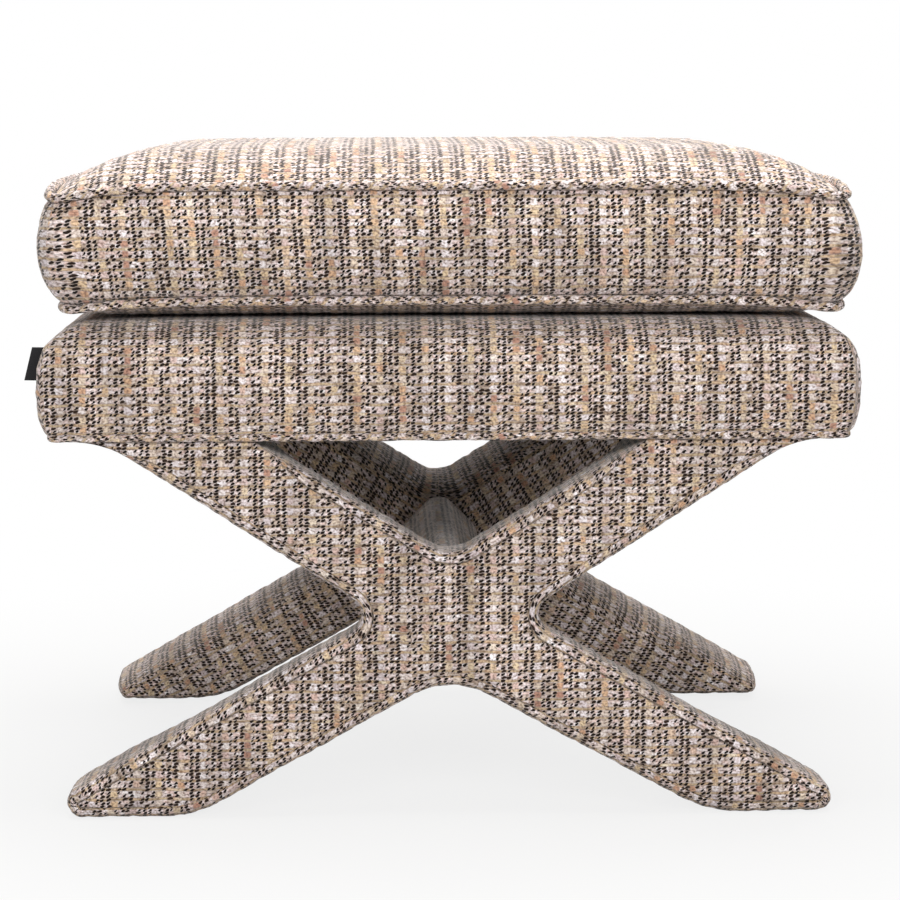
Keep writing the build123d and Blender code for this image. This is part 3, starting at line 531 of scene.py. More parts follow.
# Polyester grosgrain webbing, woven: black, with a rib every 0.9 mm along the strip
def webbing_material():
    material, n = new_material("polyester_webbing")
    weave = n(UV, uv_map="weave")
    across = n(SPLIT, (weave,))
    rib = n(MATH, (n(MATH, (across, 2000 * np.pi / 0.9), "MULTIPLY"),), "SINE")
    speck = n(NOISE, {"Vector": weave, "Scale": 1800.0, "Detail": 2.0})
    shade = fill_ramp(n(RAMP, (speck,)), [(0.3, "#0d0c0e"), (0.6, "#1c1b1e"), (0.8, "#333136")])
    height = n(MATH, (rib, 0.5, speck), "MULTIPLY_ADD")
    bump = n(BUMP, {"Strength": 0.5, "Distance": 0.0002, "Height": height})
    shader = n(SURFACE, {
        "Base Color": shade, "Roughness": 0.75, "Specular IOR Level": 0.3, "Normal": bump})
    return finish_material(material, shader)


# Polyester zip tape, woven in a fine herringbone, taupe
def zip_tape_material():
    material, n = new_material("polyester_zip_tape")
    weave = n(UV, uv_map="weave")
    x = n(SPLIT, (weave,))
    z = n(MATH, (x.node.outputs["Y"], 0.0008), "PINGPONG")
    lines = n(MATH, (n(MATH, (x, z), "ADD"), 5200.0), "MULTIPLY")
    twill = n(MATH, (n(MATH, (lines,), "SINE"), 0.5, 0.5), "MULTIPLY_ADD")
    shade = fill_ramp(n(RAMP, (twill,)), [(0.0, "#6d6358"), (0.6, "#8f8577"), (1.0, "#a59b8d")])
    bump = n(BUMP, {"Strength": 0.5, "Distance": 0.0002, "Height": twill})
    shader = n(SURFACE, {"Base Color": shade, "Roughness": 0.85, "Normal": bump})
    return finish_material(material, shader)


# Nylon, moulded or extruded: satin with a fine speckle
def nylon_material(name, dark, light):
    material, n = new_material(name)
    place = n(COORDS, out="Object")
    speck = n(NOISE, {"Vector": place, "Scale": 700.0, "Detail": 3.0})
    shade = fill_ramp(n(RAMP, (speck,)), [(0.3, dark), (0.7, light)])
    bump = n(BUMP, {"Strength": 0.25, "Distance": 0.0002, "Height": speck})
    shader = n(SURFACE, {"Base Color": shade, "Roughness": 0.45, "IOR": 1.53, "Normal": bump})
    return finish_material(material, shader)


# Plated or turned metal: faint tool streaks and patches of duller plating
def metal_material(name, light, dull, gloss):
    material, n = new_material(name)
    place = n(COORDS, out="Object")
    streak_place = n(VECTOR, (place, (900.0, 900.0, 60.0)), "MULTIPLY")
    streak = n(NOISE, {"Vector": streak_place, "Scale": 1.0, "Detail": 2.0})
    patch = n(NOISE, {"Vector": place, "Scale": 120.0, "Detail": 3.0})
    shade = fill_ramp(n(RAMP, (patch,)), [(0.3, dull), (0.7, light)])
    rough = n(MATH, (patch, 0.25, gloss - 0.1), "MULTIPLY_ADD")
    bump = n(BUMP, {"Strength": 0.15, "Distance": 0.0001, "Height": streak})
    shader = n(SURFACE, {"Base Color": shade, "Metallic": 1.0, "Roughness": rough, "Normal": bump})
    return finish_material(material, shader)


# Beech, kiln dried and planed: straight grain 2 mm wide along the piece and short brown flecks
def beech_material(name, turned):
    material, n = new_material(name)
    place = n("ShaderNodeVectorRotate", {"Vector": n(COORDS, out="Object"), "Rotation": turned},
              rotation_type="EULER_XYZ")
    grain_place = n(VECTOR, (place, (14.0, 420.0, 420.0)), "MULTIPLY")
    grain = n(NOISE, {"Vector": grain_place, "Scale": 1.0, "Detail": 3.0, "Distortion": 0.2})
    shade = fill_ramp(n(RAMP, (grain,)), [(0.3, "#b58a5f"), (0.5, "#cba57a"), (0.7, "#dbbd95")])
    fleck_place = n(VECTOR, (place, (260.0, 1600.0, 1600.0)), "MULTIPLY")
    fleck = n(NOISE, {"Vector": fleck_place, "Scale": 1.0, "Detail": 1.0})
    fleck = n(MATH, (fleck, 8.0, -5.0), "MULTIPLY_ADD", use_clamp=True)
    shade = n(MIX, {0: fleck, 6: shade, 7: colour("#8a6340")}, data_type="RGBA", out=2)
    bump = n(BUMP, {"Strength": 0.2, "Distance": 0.0003, "Height": grain})
    shader = n(SURFACE, {"Base Color": shade, "Roughness": 0.62, "Normal": bump})
    return finish_material(material, shader)


# Birch plywood, rotary cut and sanded: broad figure on the faces, 1.5 mm plies on the edges
def plywood_material():
    material, n = new_material("birch_plywood")
    place = n(COORDS, out="Object")
    figure_place = n(VECTOR, (place, (5.0, 38.0, 1.0)), "MULTIPLY")
    figure = n(NOISE, {"Vector": figure_place, "Scale": 1.0, "Detail": 4.0, "Distortion": 1.2})
    face = fill_ramp(n(RAMP, (figure,)), [(0.3, "#c7a476"), (0.5, "#d8ba8d"), (0.7, "#e4cca5")])
    level = n(SPLIT, (place,)).node.outputs["Z"]
    ply = n(MATH, (n(MATH, (level, 2000 * np.pi / 3.0), "MULTIPLY"),), "SINE")
    edge = fill_ramp(n(RAMP, (ply,)), [(0.2, "#94703f"), (0.6, "#d6b98c")])
    normal = n(SPLIT, (n("ShaderNodeNewGeometry", out="Normal"),)).node.outputs["Z"]
    is_edge = n(MATH, (n(MATH, (normal,), "ABSOLUTE"), 0.5), "LESS_THAN")
    shade = n(MIX, {0: is_edge, 6: face, 7: edge}, data_type="RGBA", out=2)
    bump = n(BUMP, {"Strength": 0.15, "Distance": 0.0003, "Height": figure})
    shader = n(SURFACE, {"Base Color": shade, "Roughness": 0.6, "Normal": bump})
    return finish_material(material, shader)


tweed = tweed_material()
dust_cloth = dust_cloth_material()
webbing = webbing_material()
zip_tape = zip_tape_material()
zip_nylon = nylon_material("extruded_nylon", "#6b6157", "#8d8377")
slider_metal = metal_material("plated_zinc_casting", "#8d877e", "#5f5a53", 0.4)

# Camera at the photograph's place: 2.08 m in front, 53 cm up, looking down by about 8 degrees
pitch = np.radians(7.865)
yaw = np.radians(1.637)
roll = np.radians(-0.117)
right = np.array([1.0, 0.0, 0.0])
ahead = np.array([0.0, np.cos(pitch), -np.sin(pitch)])
up = np.array([0.0, np.sin(pitch), np.cos(pitch)])
turn = np.array([[np.cos(yaw), -np.sin(yaw), 0], [np.sin(yaw), np.cos(yaw), 0], [0, 0, 1]])
rolled_right = np.cos(roll) * right + np.sin(roll) * up
rolled_up = np.cos(roll) * up - np.sin(roll) * right
axes = np.stack([rolled_right, rolled_up, -ahead]) @ turn
pose = np.eye(4)
pose[:3, :3] = axes.T
pose[:3, 3] = np.array([-53.74, -2083.5, 526.53]) * MM
lens = bpy.data.cameras.new("camera")
lens.lens = 106.0
lens.sensor_width = 36.0
camera = bpy.data.objects.new("camera", lens)
bpy.context.scene.collection.objects.link(camera)
camera.matrix_world = Matrix(pose.tolist())
bpy.context.scene.camera = camera

# Cushion: crowned top and underside and a bulging band between two seams
top_sides = seam_sides(SEAM_HALF_X, SEAM_HALF_Y, SEAM_CORNER, SEAM_DRAW)
under_sides = seam_sides(SEAM_HALF_X - UNDER_IN, SEAM_HALF_Y - UNDER_IN, SEAM_CORNER, SEAM_DRAW)
under_sides = [side + (UNDER_SHIFT, 0) for side in under_sides]
panel_weight = np.outer(fade(CUSHION_NX + 1, 4), fade(CUSHION_NY + 1, 4))


def droop(flat):
    """How far a seam sinks at the cushion's corners: the eighth power of the product of x and y shares."""
    return CORNER_DROOP * ((flat[..., 0] / SEAM_HALF_X) * (flat[..., 1] / SEAM_HALF_Y)) ** 8


def cushion_panel(sides, level, run, rise):
    """Crowned panel over four seam sides: the flat grid between them, raised by the soft crown."""
    flat = panel_between(sides)
    facing = np.sign(rise)
    points = stand(flat, level - droop(flat) + facing * soft_crown(run, abs(rise)))
    return lift(points, flat, panel_weight, facing), flat


top_loop = close_loop(top_sides)
under_loop = close_loop(under_sides)
round_length = lengths(top_loop)
round_length *= np.round(round_length[-1] / GROUP) * GROUP / round_length[-1]
share = np.linspace(0, 1, BOXING_ROWS + 1)
low = stand(under_loop, UNDER_SEAM - droop(under_loop))
high = stand(top_loop, TOP_SEAM - droop(top_loop))
outward = stand(loop_normals(top_loop), 0.0)
swelling = BOXING_BULGE * (1 - (2 * share**0.8 - 1) ** 2) ** 0.8
boxing = low[:, None] * (1 - share)[None, :, None] + high[:, None] * share[None, :, None]
boxing = boxing + outward[:, None] * swelling[None, :, None]
zip_low, zip_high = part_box("zip_tapes")
zip_half = zip_high.x / MM
zip_face = zip_high.y / MM
zip_level = (zip_low.z + zip_high.z) / 2 / MM
# The band lies flat round the zip
by_zip = ease((13 - np.abs(boxing[..., 2] - zip_level)) / 8) * (boxing[..., 1] > 0)
by_zip *= ease((zip_half + 14 - np.abs(boxing[..., 0])) / 14)
boxing[..., 1] += by_zip * (zip_face - 0.6 - boxing[..., 1])
boxing_weave = gather(round_length[:, None], boxing[:, :, 2])
weight = np.outer(fade(len(top_loop), 3), fade(BOXING_ROWS + 1, 3)) * (1 - by_zip)
boxing = lift(boxing, boxing_weave, weight)
cushion = sew(
    "cushion",
    [
        cushion_panel(top_sides, TOP_SEAM, TOP_RUN, TOP_RISE),
        (boxing, boxing_weave),
        cushion_panel(under_sides, UNDER_SEAM, UNDER_RUN, -UNDER_DROP),
    ],
    tweed,
    "cushion",
    ("cushion_top_panel", "cushion_boxing", "cushion_bottom_panel", "cushion_foam", "cushion_wrap"),
)


def piping(name, loop, body, node):
    """Cord in a seam: a circle carried along a closed path, with the cloth on the bias, at 45 degrees."""
    along = np.roll(loop[:-1], -1, axis=0) - np.roll(loop[:-1], 1, axis=0)
    along = np.concatenate([along, along[:1]])
    along /= np.linalg.norm(along, axis=1, keepdims=True)
    aside = np.cross(along, [0.0, 0.0, 1.0])
    aside /= np.linalg.norm(aside, axis=1, keepdims=True)
    above = np.cross(aside, along)
    angle = np.linspace(0, 2 * np.pi, PIPING_STEPS + 1)
    gone = lengths(loop)
    girth = angle * PIPING_RADIUS
    weave = gather(gone[:, None] + girth, gone[:, None] - girth) * np.sqrt(0.5)
    weight = np.outer(fade(len(loop), 4), fade(PIPING_STEPS + 1, 2))
    radius = PIPING_RADIUS - 0.2 + 0.6 * weight * (cloth_height(weave) - 0.2)
    ring = np.cos(angle)[None, :, None] * aside[:, None] + np.sin(angle)[None, :, None] * above[:, None]
    points = loop[:, None] + radius[..., None] * ring
    sew(name, [(points, weave)], tweed, body, (node,))


for seam_name, seam_loop, seam_level in (
    ("cushion_top_piping", high, TOP_SEAM), ("cushion_bottom_piping", low, UNDER_SEAM)):
    lowest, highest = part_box(seam_name)
    raised = (lowest.z + highest.z) / 2 / MM - seam_level
    piping(seam_name + "_cord", seam_loop + outward * PIPING_REACH + (0, 0, raised), "cushion", seam_name)

# Platform: a cover drawn over the deck and down the sides, its profile in pairs of inset and height
PLATFORM_PROFILE = np.array([
    (8.0, 276.4), (4.5, 279.0), (1.0, 282.5), (-1.8, 288.5), (-3.4, 296.0), (-4.1, 306.0), (-4.1, 317.0),
    (-3.2, 328.0), (-0.8, 337.5), (2.2, 343.5), (6.5, 348.4), (12.0, 352.6), (18.5, 356.2), (25.5, 358.6),
    (34.0, 360.2), (42.0, 360.6), (50.0, 360.7)])


def smooth_profile(marks, steps):
    """Smooth curve through marks: a Catmull-Rom spline, divided into equal steps of its length."""
    ends = np.concatenate([2 * marks[:1] - marks[1:2], marks, 2 * marks[-1:] - marks[-2:-1]])
    t = np.linspace(0, 1, 24, endpoint=False)[None, :, None]
    a, b, c, d = (ends[k : k + len(marks) - 1, None] for k in range(4))
    curve = 0.5 * (2 * b + (c - a) * t + (2 * a - 5 * b + 4 * c - d) * t**2 + (3 * b - a - 3 * c + d) * t**3)
    return resample(np.concatenate([curve.reshape(-1, marks.shape[1]), marks[-1:]]), steps)


def platform_loop(inset):
    """Sides of the platform's outline, moved in by an inset, its corners as round as that leaves them."""
    corner = max(PLATFORM_CORNER - 0.6 * inset, 4.0)
    return seam_sides(PLATFORM_HALF_X - inset, PLATFORM_HALF_Y - inset, corner, PLATFORM_DRAW)


side_profile = smooth_profile(PLATFORM_PROFILE, 58)
side_loops = np.stack([stand(close_loop(platform_loop(inset)), z) for inset, z in side_profile], axis=1)
side_gone = lengths(side_profile)
loop_index = np.arange(len(side_loops))
corners = np.cumsum([0, CUSHION_NX, CUSHION_NY, CUSHION_NX, CUSHION_NY])
quarter = np.searchsorted(corners[1:-1], loop_index, side="right")
down = side_gone[-1] - side_gone[None, :]
edge_x = side_loops[:, -1:, 0]
edge_y = side_loops[:, -1:, 1]
side_weave = np.where(
    ((quarter == 0) | (quarter == 2))[:, None, None],
    gather(side_loops[..., 0], edge_y + np.sign(edge_y) * down),
    gather(edge_x + np.sign(edge_x) * down, side_loops[..., 1]),
)
weight = np.ones(len(side_loops))
for corner in corners:
    weight *= np.clip(np.abs(loop_index - corner) / 3, 0, 1)
side_points = lift(side_loops, side_weave, np.outer(weight, fade(len(side_profile), 4)))
deck_flat = panel_between(platform_loop(side_profile[-1, 0]))
deck = lift(stand(deck_flat, side_profile[-1, 1]), deck_flat, 0.5 * panel_weight)
foot_flat = panel_between(platform_loop(side_profile[0, 0]))
platform = sew(
    "platform",
    [(side_points, side_weave), (deck, deck_flat), (stand(foot_flat, side_profile[0, 1]), foot_flat)],
    tweed,
    "base",
    ("platform_cover", "rail_wadding", "deck_foam"),
)
lowest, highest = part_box("platform_piping")
edge_inset = PLATFORM_HALF_X - highest.x / MM + CORD_RADIUS - 1.2
edge_loop = close_loop(seam_sides(
    PLATFORM_HALF_X - edge_inset, PLATFORM_HALF_Y - edge_inset, PLATFORM_CORNER - 3, PLATFORM_DRAW))
piping("platform_piping_cord", stand(edge_loop, (lowest.z + highest.z) / 2 / MM), "base", "platform_piping")


def right_half(outline):
    """Right half of an outline that is the same on both sides, from the middle outwards."""
    return np.concatenate([[(0, np.interp(0, outline[:, 0], outline[:, 1]))], outline[outline[:, 0] > 0]])


# X frames: outline in the XZ plane, from the valley round one side to the arch
v_path = right_half(rounded([(-ARM_INNER, ARM_TOP), (0, 189.4), (ARM_INNER, ARM_TOP)], [27]))
side_path = rounded(
    [(ARM_OUTER, ARM_TOP), (246, 273.6), (51.1, 147.2), (277.5, 17.4), (279.5, SOLE), (TOE_FLAT, SOLE)],
    [60, 14, 9, 11])
sole_path = right_half(rounded(
    [(-TOE_FLAT, SOLE), (-187, SOLE), (0, 103.6), (187, SOLE), (TOE_FLAT, SOLE)], [85, 55, 85]))
waist = np.argmin(side_path[:, 0])
leg_path = side_path[waist:]
toe = np.argmax(leg_path[:, 0] > TOE_FLAT)
arm_v = resample(v_path, ARM_STEPS)
arm_outer = resample(side_path[: waist + 1][::-1], ARM_STEPS)
arm_end = resample(np.array([(ARM_INNER, ARM_TOP), (ARM_OUTER, ARM_TOP)]), 2 * END_HALF_STEPS)
leg_upper = resample(leg_path[: toe + 1], ARM_STEPS)
leg_end = resample(leg_path[toe:], 2 * END_HALF_STEPS)
leg_lower = resample(sole_path, ARM_STEPS)
half_loop = np.concatenate([
    arm_v[:-1], arm_end[:-1], arm_outer[::-1][:-1], leg_upper[:-1], leg_end[:-1], leg_lower[::-1]])
x_loop = np.concatenate([half_loop, (half_loop * (-1, 1))[::-1][1:]])
x_normal = -loop_normals(x_loop)
# The padded edge flattens out where the arms are pulled tight under the platform
x_soft = ease((274 - x_loop[:, 1]) / 26)
# The upper inner edge falls away as on a bolster, less so at the toes, which are too narrow for it
x_bolster = np.maximum(ease((238 - np.abs(x_loop[:, 0])) / 60), ease((x_loop[:, 1] - 150) / 40))
x_bolster = TOE_DROP + (INNER_DROP - TOE_DROP) * x_bolster * ease(0.5 + x_normal[:, 1])
X_PARTS = np.cumsum([
    0, ARM_STEPS, 2 * END_HALF_STEPS, ARM_STEPS, ARM_STEPS, 2 * END_HALF_STEPS, ARM_STEPS])
X_MIDDLE = np.array([0.0, CROSSING])


def spoke(start, stop):
    """Straight run from one edge of an X face to its crossing, and on to another edge."""
    first = start + (X_MIDDLE - start) * np.linspace(0, 1, END_HALF_STEPS + 1)[:, None]
    second = X_MIDDLE + (stop - X_MIDDLE) * np.linspace(0, 1, END_HALF_STEPS + 1)[:, None]
    return np.concatenate([first, second[1:]])


def x_frame(name, end, nodes):
    """Padded X: a gusset carried round the outline with rounded edges, and a face on each side.
    The outer face has a seam; on the inner one the columns lie across the arms, as on the gusset."""
    angle = np.linspace(0, np.pi / 2, 7)
    inner_angle = np.linspace(0, np.pi / 2, 28)
    flank = np.linspace(EDGE_ROUNDING - FRAME_HALF, FRAME_HALF - INNER_RUN, GUSSET_ROWS)[1:-1]
    # The first two rows dip into the seam of the outer face
    inset = np.concatenate([
        [8.6, 8.0], EDGE_ROUNDING * (1 - np.sin(angle)) * 0.95, 0 * flank, 0 * inner_angle])
    bolster = np.concatenate([np.zeros(len(inset) - len(inner_angle)), (1 - np.sin(inner_angle))[::-1]])
    depth = np.concatenate([
        [-34.9, -36.2], EDGE_ROUNDING * (1 - np.cos(angle)) - FRAME_HALF + 0.1,
        flank, FRAME_HALF - INNER_RUN * (1 - np.cos(inner_angle))[::-1]])
    inset = x_soft[:, None] * (inset[None, :] + x_bolster[:, None] * bolster[None, :])
    flat = x_loop[:, None] - x_normal[:, None] * inset[..., None]
    gusset = gather(flat[..., 0], end * (FRAME_MIDDLE - depth), flat[..., 1])
    gone = lengths(x_loop)
    across = lengths(gather(inset[0], depth))
    gusset_weave = gather(gone[:, None], across[None, :])
    weight = np.outer(fade(len(x_loop), 3) * x_soft, fade(len(depth), 3))
    panels = [(lift(gusset, gusset_weave, weight, end), gusset_weave)]
    for row, level, outer in ((0, depth[0], True), (len(depth) - 1, depth[-1], False)):
        edge = flat[:, row]
        runs = [edge[a : b + 1] for a, b in zip(X_PARTS, X_PARTS[1:])]
        notch = runs[2][-1]
        arm = coons(runs[0], runs[2][::-1], spoke(edge[0], notch), runs[1])
        leg = coons(runs[3], runs[5][::-1], spoke(notch, runs[5][-1]), runs[4])
        for face, tilt in ((arm, np.radians(31.5)), (leg, np.radians(-30.0))):
            border = edge[::2]
            gap = np.sqrt(((face[:, :, None] - border[None, None]) ** 2).sum(-1)).min(-1)
            dome = 2.0 * (1 - np.exp(-gap / 14)) + (2.3 * (1 - np.exp(-gap / 1.2)) if outer else 0)
            soft = np.clip(gap / 8, 0, 1)
            for mirror in (1, -1):
                across_face = face * (mirror, 1)
                y_face = end * (FRAME_MIDDLE - level) + (end if outer else -end) * dome
                points = gather(across_face[..., 0], y_face, across_face[..., 1])
                if outer:
                    weave = across_face
                else:
                    lean = np.array([[np.cos(tilt), np.sin(tilt)], [-np.sin(tilt), np.cos(tilt)]])
                    weave = (face - X_MIDDLE) @ lean.T + (300 * mirror, 0)
                facing = end * mirror * (1 if outer else -1)
                panels.append((lift(points, weave, soft, facing), weave))
    piece = sew(name, panels, tweed, "base", nodes)


x_frame("front_x", -1, ("front_x_cover", "front_x_padding"))
x_frame("rear_x", 1, ("rear_x_cover", "rear_x_padding"))

# Stretcher: a round-edged square carried along Y, standing on its edge, with flat ends against the X frames
corner_turn = np.linspace(0, np.pi / 2, 9)
quarter_arc = BAR_FLAT + BAR_ROUND * gather(np.cos(corner_turn), np.sin(corner_turn))
square = np.concatenate([quarter_arc, quarter_arc[:, ::-1] * (-1, 1)])
square = np.concatenate([square, -square])
square = resample(np.concatenate([square, square[:1]]), 84)
diamond = square @ (np.array([[1, 1], [-1, 1]]) * np.sqrt(0.5))
bar_y = np.linspace(-BAR_HALF, BAR_HALF, 112)
bar = gather(diamond[:, None, 0], bar_y[None, :], diamond[:, None, 1] + CROSSING)
girth = lengths(square)[:, None]
bar_weave = gather(girth, bar_y[None, :])
bar_weight = BAR_RELIEF * np.outer(fade(len(square), 2), fade(len(bar_y), 2))
caps = []
for cap_row in (0, -1):
    rim = bar[:, cap_row]
    cap = rim[:, None] + (rim.mean(axis=0) - rim)[:, None] * np.linspace(0, 1, 5)[None, :, None]
    caps.append((cap, cap[..., [0, 2]]))
stretcher = sew(
    "stretcher", [(lift(bar, bar_weave, bar_weight, -1), bar_weave), *caps], tweed, "base",
    ("stretcher_cover", "stretcher_padding"))

# Side tab: a strip of webbing folded double and sewn into the left side, leaning out at its lower end
tab_low, tab_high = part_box("side_tab")
tab_middle = (tab_low.y + tab_high.y) / 2 / MM


def tab_skin(reach):
    """Skin of the folded strip at a distance from its middle: along one leaf, the fold and back."""
    run = np.linspace(TAB_ROOT, TAB_FOLD, 14)
    fold_turn = np.linspace(np.pi / 2, 3 * np.pi / 2, 13)[1:-1]
    leaf = gather(run, reach)
    fold = gather(TAB_FOLD + reach * np.cos(fold_turn), reach * np.sin(fold_turn))
    path = np.concatenate([leaf, fold, leaf[::-1] * (1, -1)])
    z = np.linspace(TAB_BOTTOM, TAB_TOP, 32)
    x = path[:, :1] - TAB_LEAN * (TAB_TOP - z) / (TAB_TOP - TAB_BOTTOM)
    bend = TAB_BEND * ((path[:, :1] - TAB_ROOT) / (TAB_FOLD - TAB_ROOT)) ** 2
    return gather(x, tab_middle + path[:, 1:] + bend, z)


def slab(skin, back):
    """Closed slab between two grids of one shape: both skins in one loop, and the two open ends."""
    around = np.concatenate([skin, back[:, ::-1], skin[:, :1]], axis=1)
    return [around, *(np.stack([skin[k], back[k]], axis=1) for k in (0, -1))]


sew("side_tab_loop", [(grid, grid[..., [0, 2]]) for grid in slab(tab_skin(1.3), tab_skin(0.45))],
    webbing, "base", ("side_tab",))

# Zip in the rear band: two stitched tapes, the interlocked coil and the slider with its pull
stitch_x = np.linspace(-zip_half, zip_half, 801)[:, None]
tape_z = np.linspace(-3.8, 3.8, 25)[None, :]
stitch = np.exp(-(((np.abs(tape_z) - 3) / 0.4) ** 2))
stitch = stitch * np.clip(1.2 * np.cos(2 * np.pi * stitch_x / STITCH_STEP) + 0.4, 0, 1)


def strip(x, z, top, back):
    """Closed strip along X: an upper skin at the given depth over a flat back."""
    skin = gather(x, top, z + zip_level)
    under = gather(x, back, z + zip_level)
    return [(grid, grid[..., [0, 2]]) for grid in slab(skin, under)]


sew("zip_tape_pair", strip(stitch_x, tape_z, zip_face + 0.35 * stitch, zip_face - 1),
    zip_tape, "cushion", ("zip_tapes",))
# Teeth are drawn 2 mm apart, because the real 1.2 mm is too fine to show
coil_x = np.linspace(-zip_half, zip_half, 1401)[:, None]
coil_z = np.linspace(-2, 2, 17)[None, :]
mesh_turn = np.pi * ease(coil_z + 0.5)
teeth = 0.55 + 0.45 * np.cos(2 * np.pi * coil_x / COIL_PITCH + mesh_turn)
coil_top = zip_face - 0.1 + 1.4 * np.sqrt(1 - (coil_z / 2.02) ** 2) * teeth
sew("zip_coil_teeth", strip(coil_x, coil_z, coil_top, zip_face - 0.2),
    zip_nylon, "cushion", ("zip_coil",))

slider_low, slider_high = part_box("zip_slider")
slider_x = (slider_low.x + slider_high.x) / 2 / MM
slider_y = slider_low.y / MM - 0.1
round_turn = np.linspace(0, 2 * np.pi, 49)


def plate(centre_z, half_x, half_z, taper, rows):
    """Rounded plate in the XZ plane: a superellipse, wider towards one end, scaled row by row and closed."""
    x = half_x * np.sign(np.cos(round_turn)) * np.abs(np.cos(round_turn)) ** 0.6
    z = half_z * np.sign(np.sin(round_turn)) * np.abs(np.sin(round_turn)) ** 0.6
    size, depth = np.array(rows).T
    if half_x > half_z:
        z = z * (1 + taper * x / half_x)
    else:
        x = x * (1 + taper * z / half_z)
    grid = gather(
        slider_x + size[:, None] * x, (slider_y + depth)[:, None], centre_z + size[:, None] * z)
    return grid, grid[..., [0, 2]]


bow = resample(rounded([(-3.8, 1.5), (-3.0, 3.9), (3.0, 3.9), (3.8, 1.5)], [1.3, 1.3]), 30)
bow_along = np.gradient(bow, axis=0)
bow_along /= np.linalg.norm(bow_along, axis=1, keepdims=True)
bow_size = np.ones((31, 1))
bow_size[[0, -1]] = 0
bow_out = 0.45 * np.cos(round_turn) * bow_size
bow_grid = gather(
    slider_x + bow[:, :1] - bow_along[:, 1:] * bow_out, slider_y + bow[:, 1:] + bow_along[:, :1] * bow_out,
    zip_level + 0.95 * np.sin(round_turn) * bow_size)
body_rows = [(0, 0), (0.86, 0), (1, 0.4), (1, 1.3), (0.88, 1.75), (0.6, 1.9), (0, 1.95)]
pull_rows = [(0, 2.6), (0.9, 2.6), (1, 2.8), (1, 3.1), (0.9, 3.3), (0, 3.3)]
sew("zip_slider_body", [plate(zip_level, 5.5, 3.7, 0.12, body_rows), (bow_grid, bow_grid[..., [0, 2]]),
                        plate(zip_level - 6.5, 2.1, 7.5, -0.2, pull_rows)],
    slider_metal, "zip_slider", ("zip_slider",))

# Dust cover: black cloth stapled under the rails, slack between the X frames, puckered along its edges
cover_low, cover_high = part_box("dust_cover")
cover_x = np.linspace(cover_low.x, cover_high.x, 184)[:, None] / MM
cover_y = np.linspace(cover_low.y, cover_high.y, 143)[None, :] / MM
slack = COVER_SAG * (1 - (cover_x / cover_x.max()) ** 2) * ease((138 - np.abs(cover_y)) / 60)
from_edge = np.minimum(cover_x.max() - np.abs(cover_x), cover_y.max() - np.abs(cover_y))
pucker = 0.45 * np.exp(-from_edge / 16) * np.cos(2 * np.pi * (cover_x + cover_y) / STAPLE_STEP)
cover_z = cover_low.z / MM - slack + pucker
cover_skins = [gather(cover_x, cover_y, cover_z + up_by) for up_by in (0.7, 0)]
dust_sheet = sew("dust_sheet", [(grid, grid[..., :2]) for grid in slab(*cover_skins)],
                 dust_cloth, "base", ("dust_cover",))

# Finishes of the timber, the board, the hardware and the glides inside and underneath
FINISHES = (
    (beech_material("beech_along_x", (0, 0, 0)),
     ("front_rail", "rear_rail", "front_batten", "rear_batten", "corner_blocks")),
    (beech_material("beech_along_y", (0, 0, np.pi / 2)), ("left_rail", "right_rail", "stretcher_core")),
    (beech_material("beech_rising", (0, np.radians(31), 0)), ("front_rising_beam", "rear_rising_beam")),
    (beech_material("beech_falling", (0, np.radians(-31), 0)), ("front_falling_beam", "rear_falling_beam")),
    (plywood_material(), ("deck_board",)),
    (metal_material("zinc_plated_steel", "#b9bcc0", "#8f9296", 0.42),
     ("arm_bolts", "arm_washers", "stretcher_bolts", "stretcher_washers", "stretcher_nuts", "glide_nails")),
    (metal_material("turned_brass", "#c9a65a", "#a98640", 0.32), ("arm_inserts",)),
    (nylon_material("moulded_nylon", "#0b0b0c", "#1a1a1b"),
     ("front_left_glide", "front_right_glide", "rear_left_glide", "rear_right_glide")),
)
for finish, node_names in FINISHES:
    for node_name in node_names:
        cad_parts[node_name].material_slots[0].material = finish

# Floor and light
LIGHT_AIM = np.array([0.0, 0.0, 0.3])
floor_mesh = bpy.data.meshes.new("floor")
floor_mesh.from_pydata([(-8, -4, 0), (8, -4, 0), (8, 12, 0), (-8, 12, 0)], [], [(0, 1, 2, 3)])
floor = bpy.data.objects.new("floor", floor_mesh)
bpy.context.scene.collection.objects.link(floor)


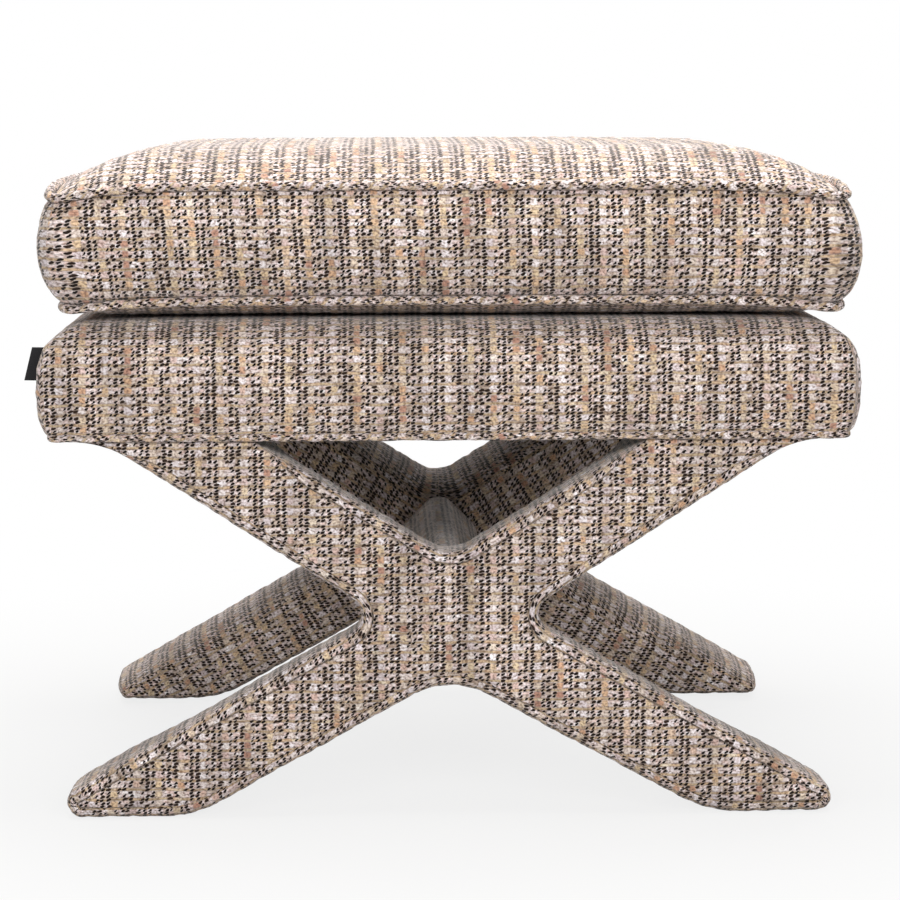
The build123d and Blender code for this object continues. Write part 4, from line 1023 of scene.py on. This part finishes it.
# Matt pale floor: grey with the shadow near the part, and fading to white away from it
def floor_material():
    material, n = new_material("pale_floor")
    place = n(COORDS, out="Object")
    gone = n(VECTOR, (place,), "LENGTH", out="Value")
    far = n("ShaderNodeMapRange", {"Value": gone, "From Min": 0.3, "From Max": 0.8, "To Min": 0.82},
            interpolation_type="SMOOTHSTEP")
    paint = n("ShaderNodeBsdfDiffuse", {"Color": colour("#bdbcba")})
    glow = n("ShaderNodeEmission", {"Color": (1, 1, 1, 1), "Strength": 1.0})
    seen = n("ShaderNodeLightPath", out="Is Camera Ray")
    far = n(MATH, (far, seen), "MULTIPLY")
    shader = n("ShaderNodeMixShader", (far, paint, glow))
    return finish_material(material, shader)


floor_mesh.materials.append(floor_material())

# World: white to the camera and in reflections, dim as a light
world = bpy.data.worlds.new("studio")
bpy.context.scene.world = world
world.use_nodes = True
world.node_tree.nodes.clear()
w = partial(add, world.node_tree)
path_node = w("ShaderNodeLightPath", out="Is Camera Ray")
glossy = path_node.node.outputs["Is Glossy Ray"]
through = path_node.node.outputs["Is Transmission Ray"]
shows = w(MATH, (w(MATH, (path_node, glossy), "MAXIMUM"), through), "MAXIMUM")
strength = w(MATH, (shows, 0.85, 0.15), "MULTIPLY_ADD")
sky = w("ShaderNodeBackground", {"Color": (1, 1, 1, 1), "Strength": strength})
world_out = world.node_tree.nodes.new("ShaderNodeOutputWorld")
world.node_tree.links.new(sky, world_out.inputs["Surface"])


def area_light(name, place, size, power):
    """Soft square light at a place, turned to face the middle of the part."""
    lamp = bpy.data.lights.new(name, "AREA")
    lamp.size = size
    lamp.energy = power
    made = bpy.data.objects.new(name, lamp)
    bpy.context.scene.collection.objects.link(made)
    back = np.array(place) - LIGHT_AIM
    back /= np.linalg.norm(back)
    aside = np.cross([0.0, 1.0, 0.0] if abs(back[2]) > 0.95 else [0.0, 0.0, 1.0], back)
    aside /= np.linalg.norm(aside)
    turned = np.eye(4)
    turned[:3, :3] = np.stack([aside, np.cross(back, aside), back], axis=1)
    turned[:3, 3] = place
    made.matrix_world = Matrix(turned.tolist())


area_light("overhead", (0.0, 0.15, 2.4), 1.6, 72.0)
area_light("front_left", (-1.3, -2.6, 1.45), 1.0, 36.0)
area_light("front_right", (1.3, -2.6, 1.45), 1.0, 36.0)
area_light("rear_left", (-1.5, 2.5, 1.5), 1.0, 17.0)
area_light("rear_right", (1.5, 2.5, 1.5), 1.0, 17.0)

bpy.context.scene.view_settings.view_transform = "Standard"
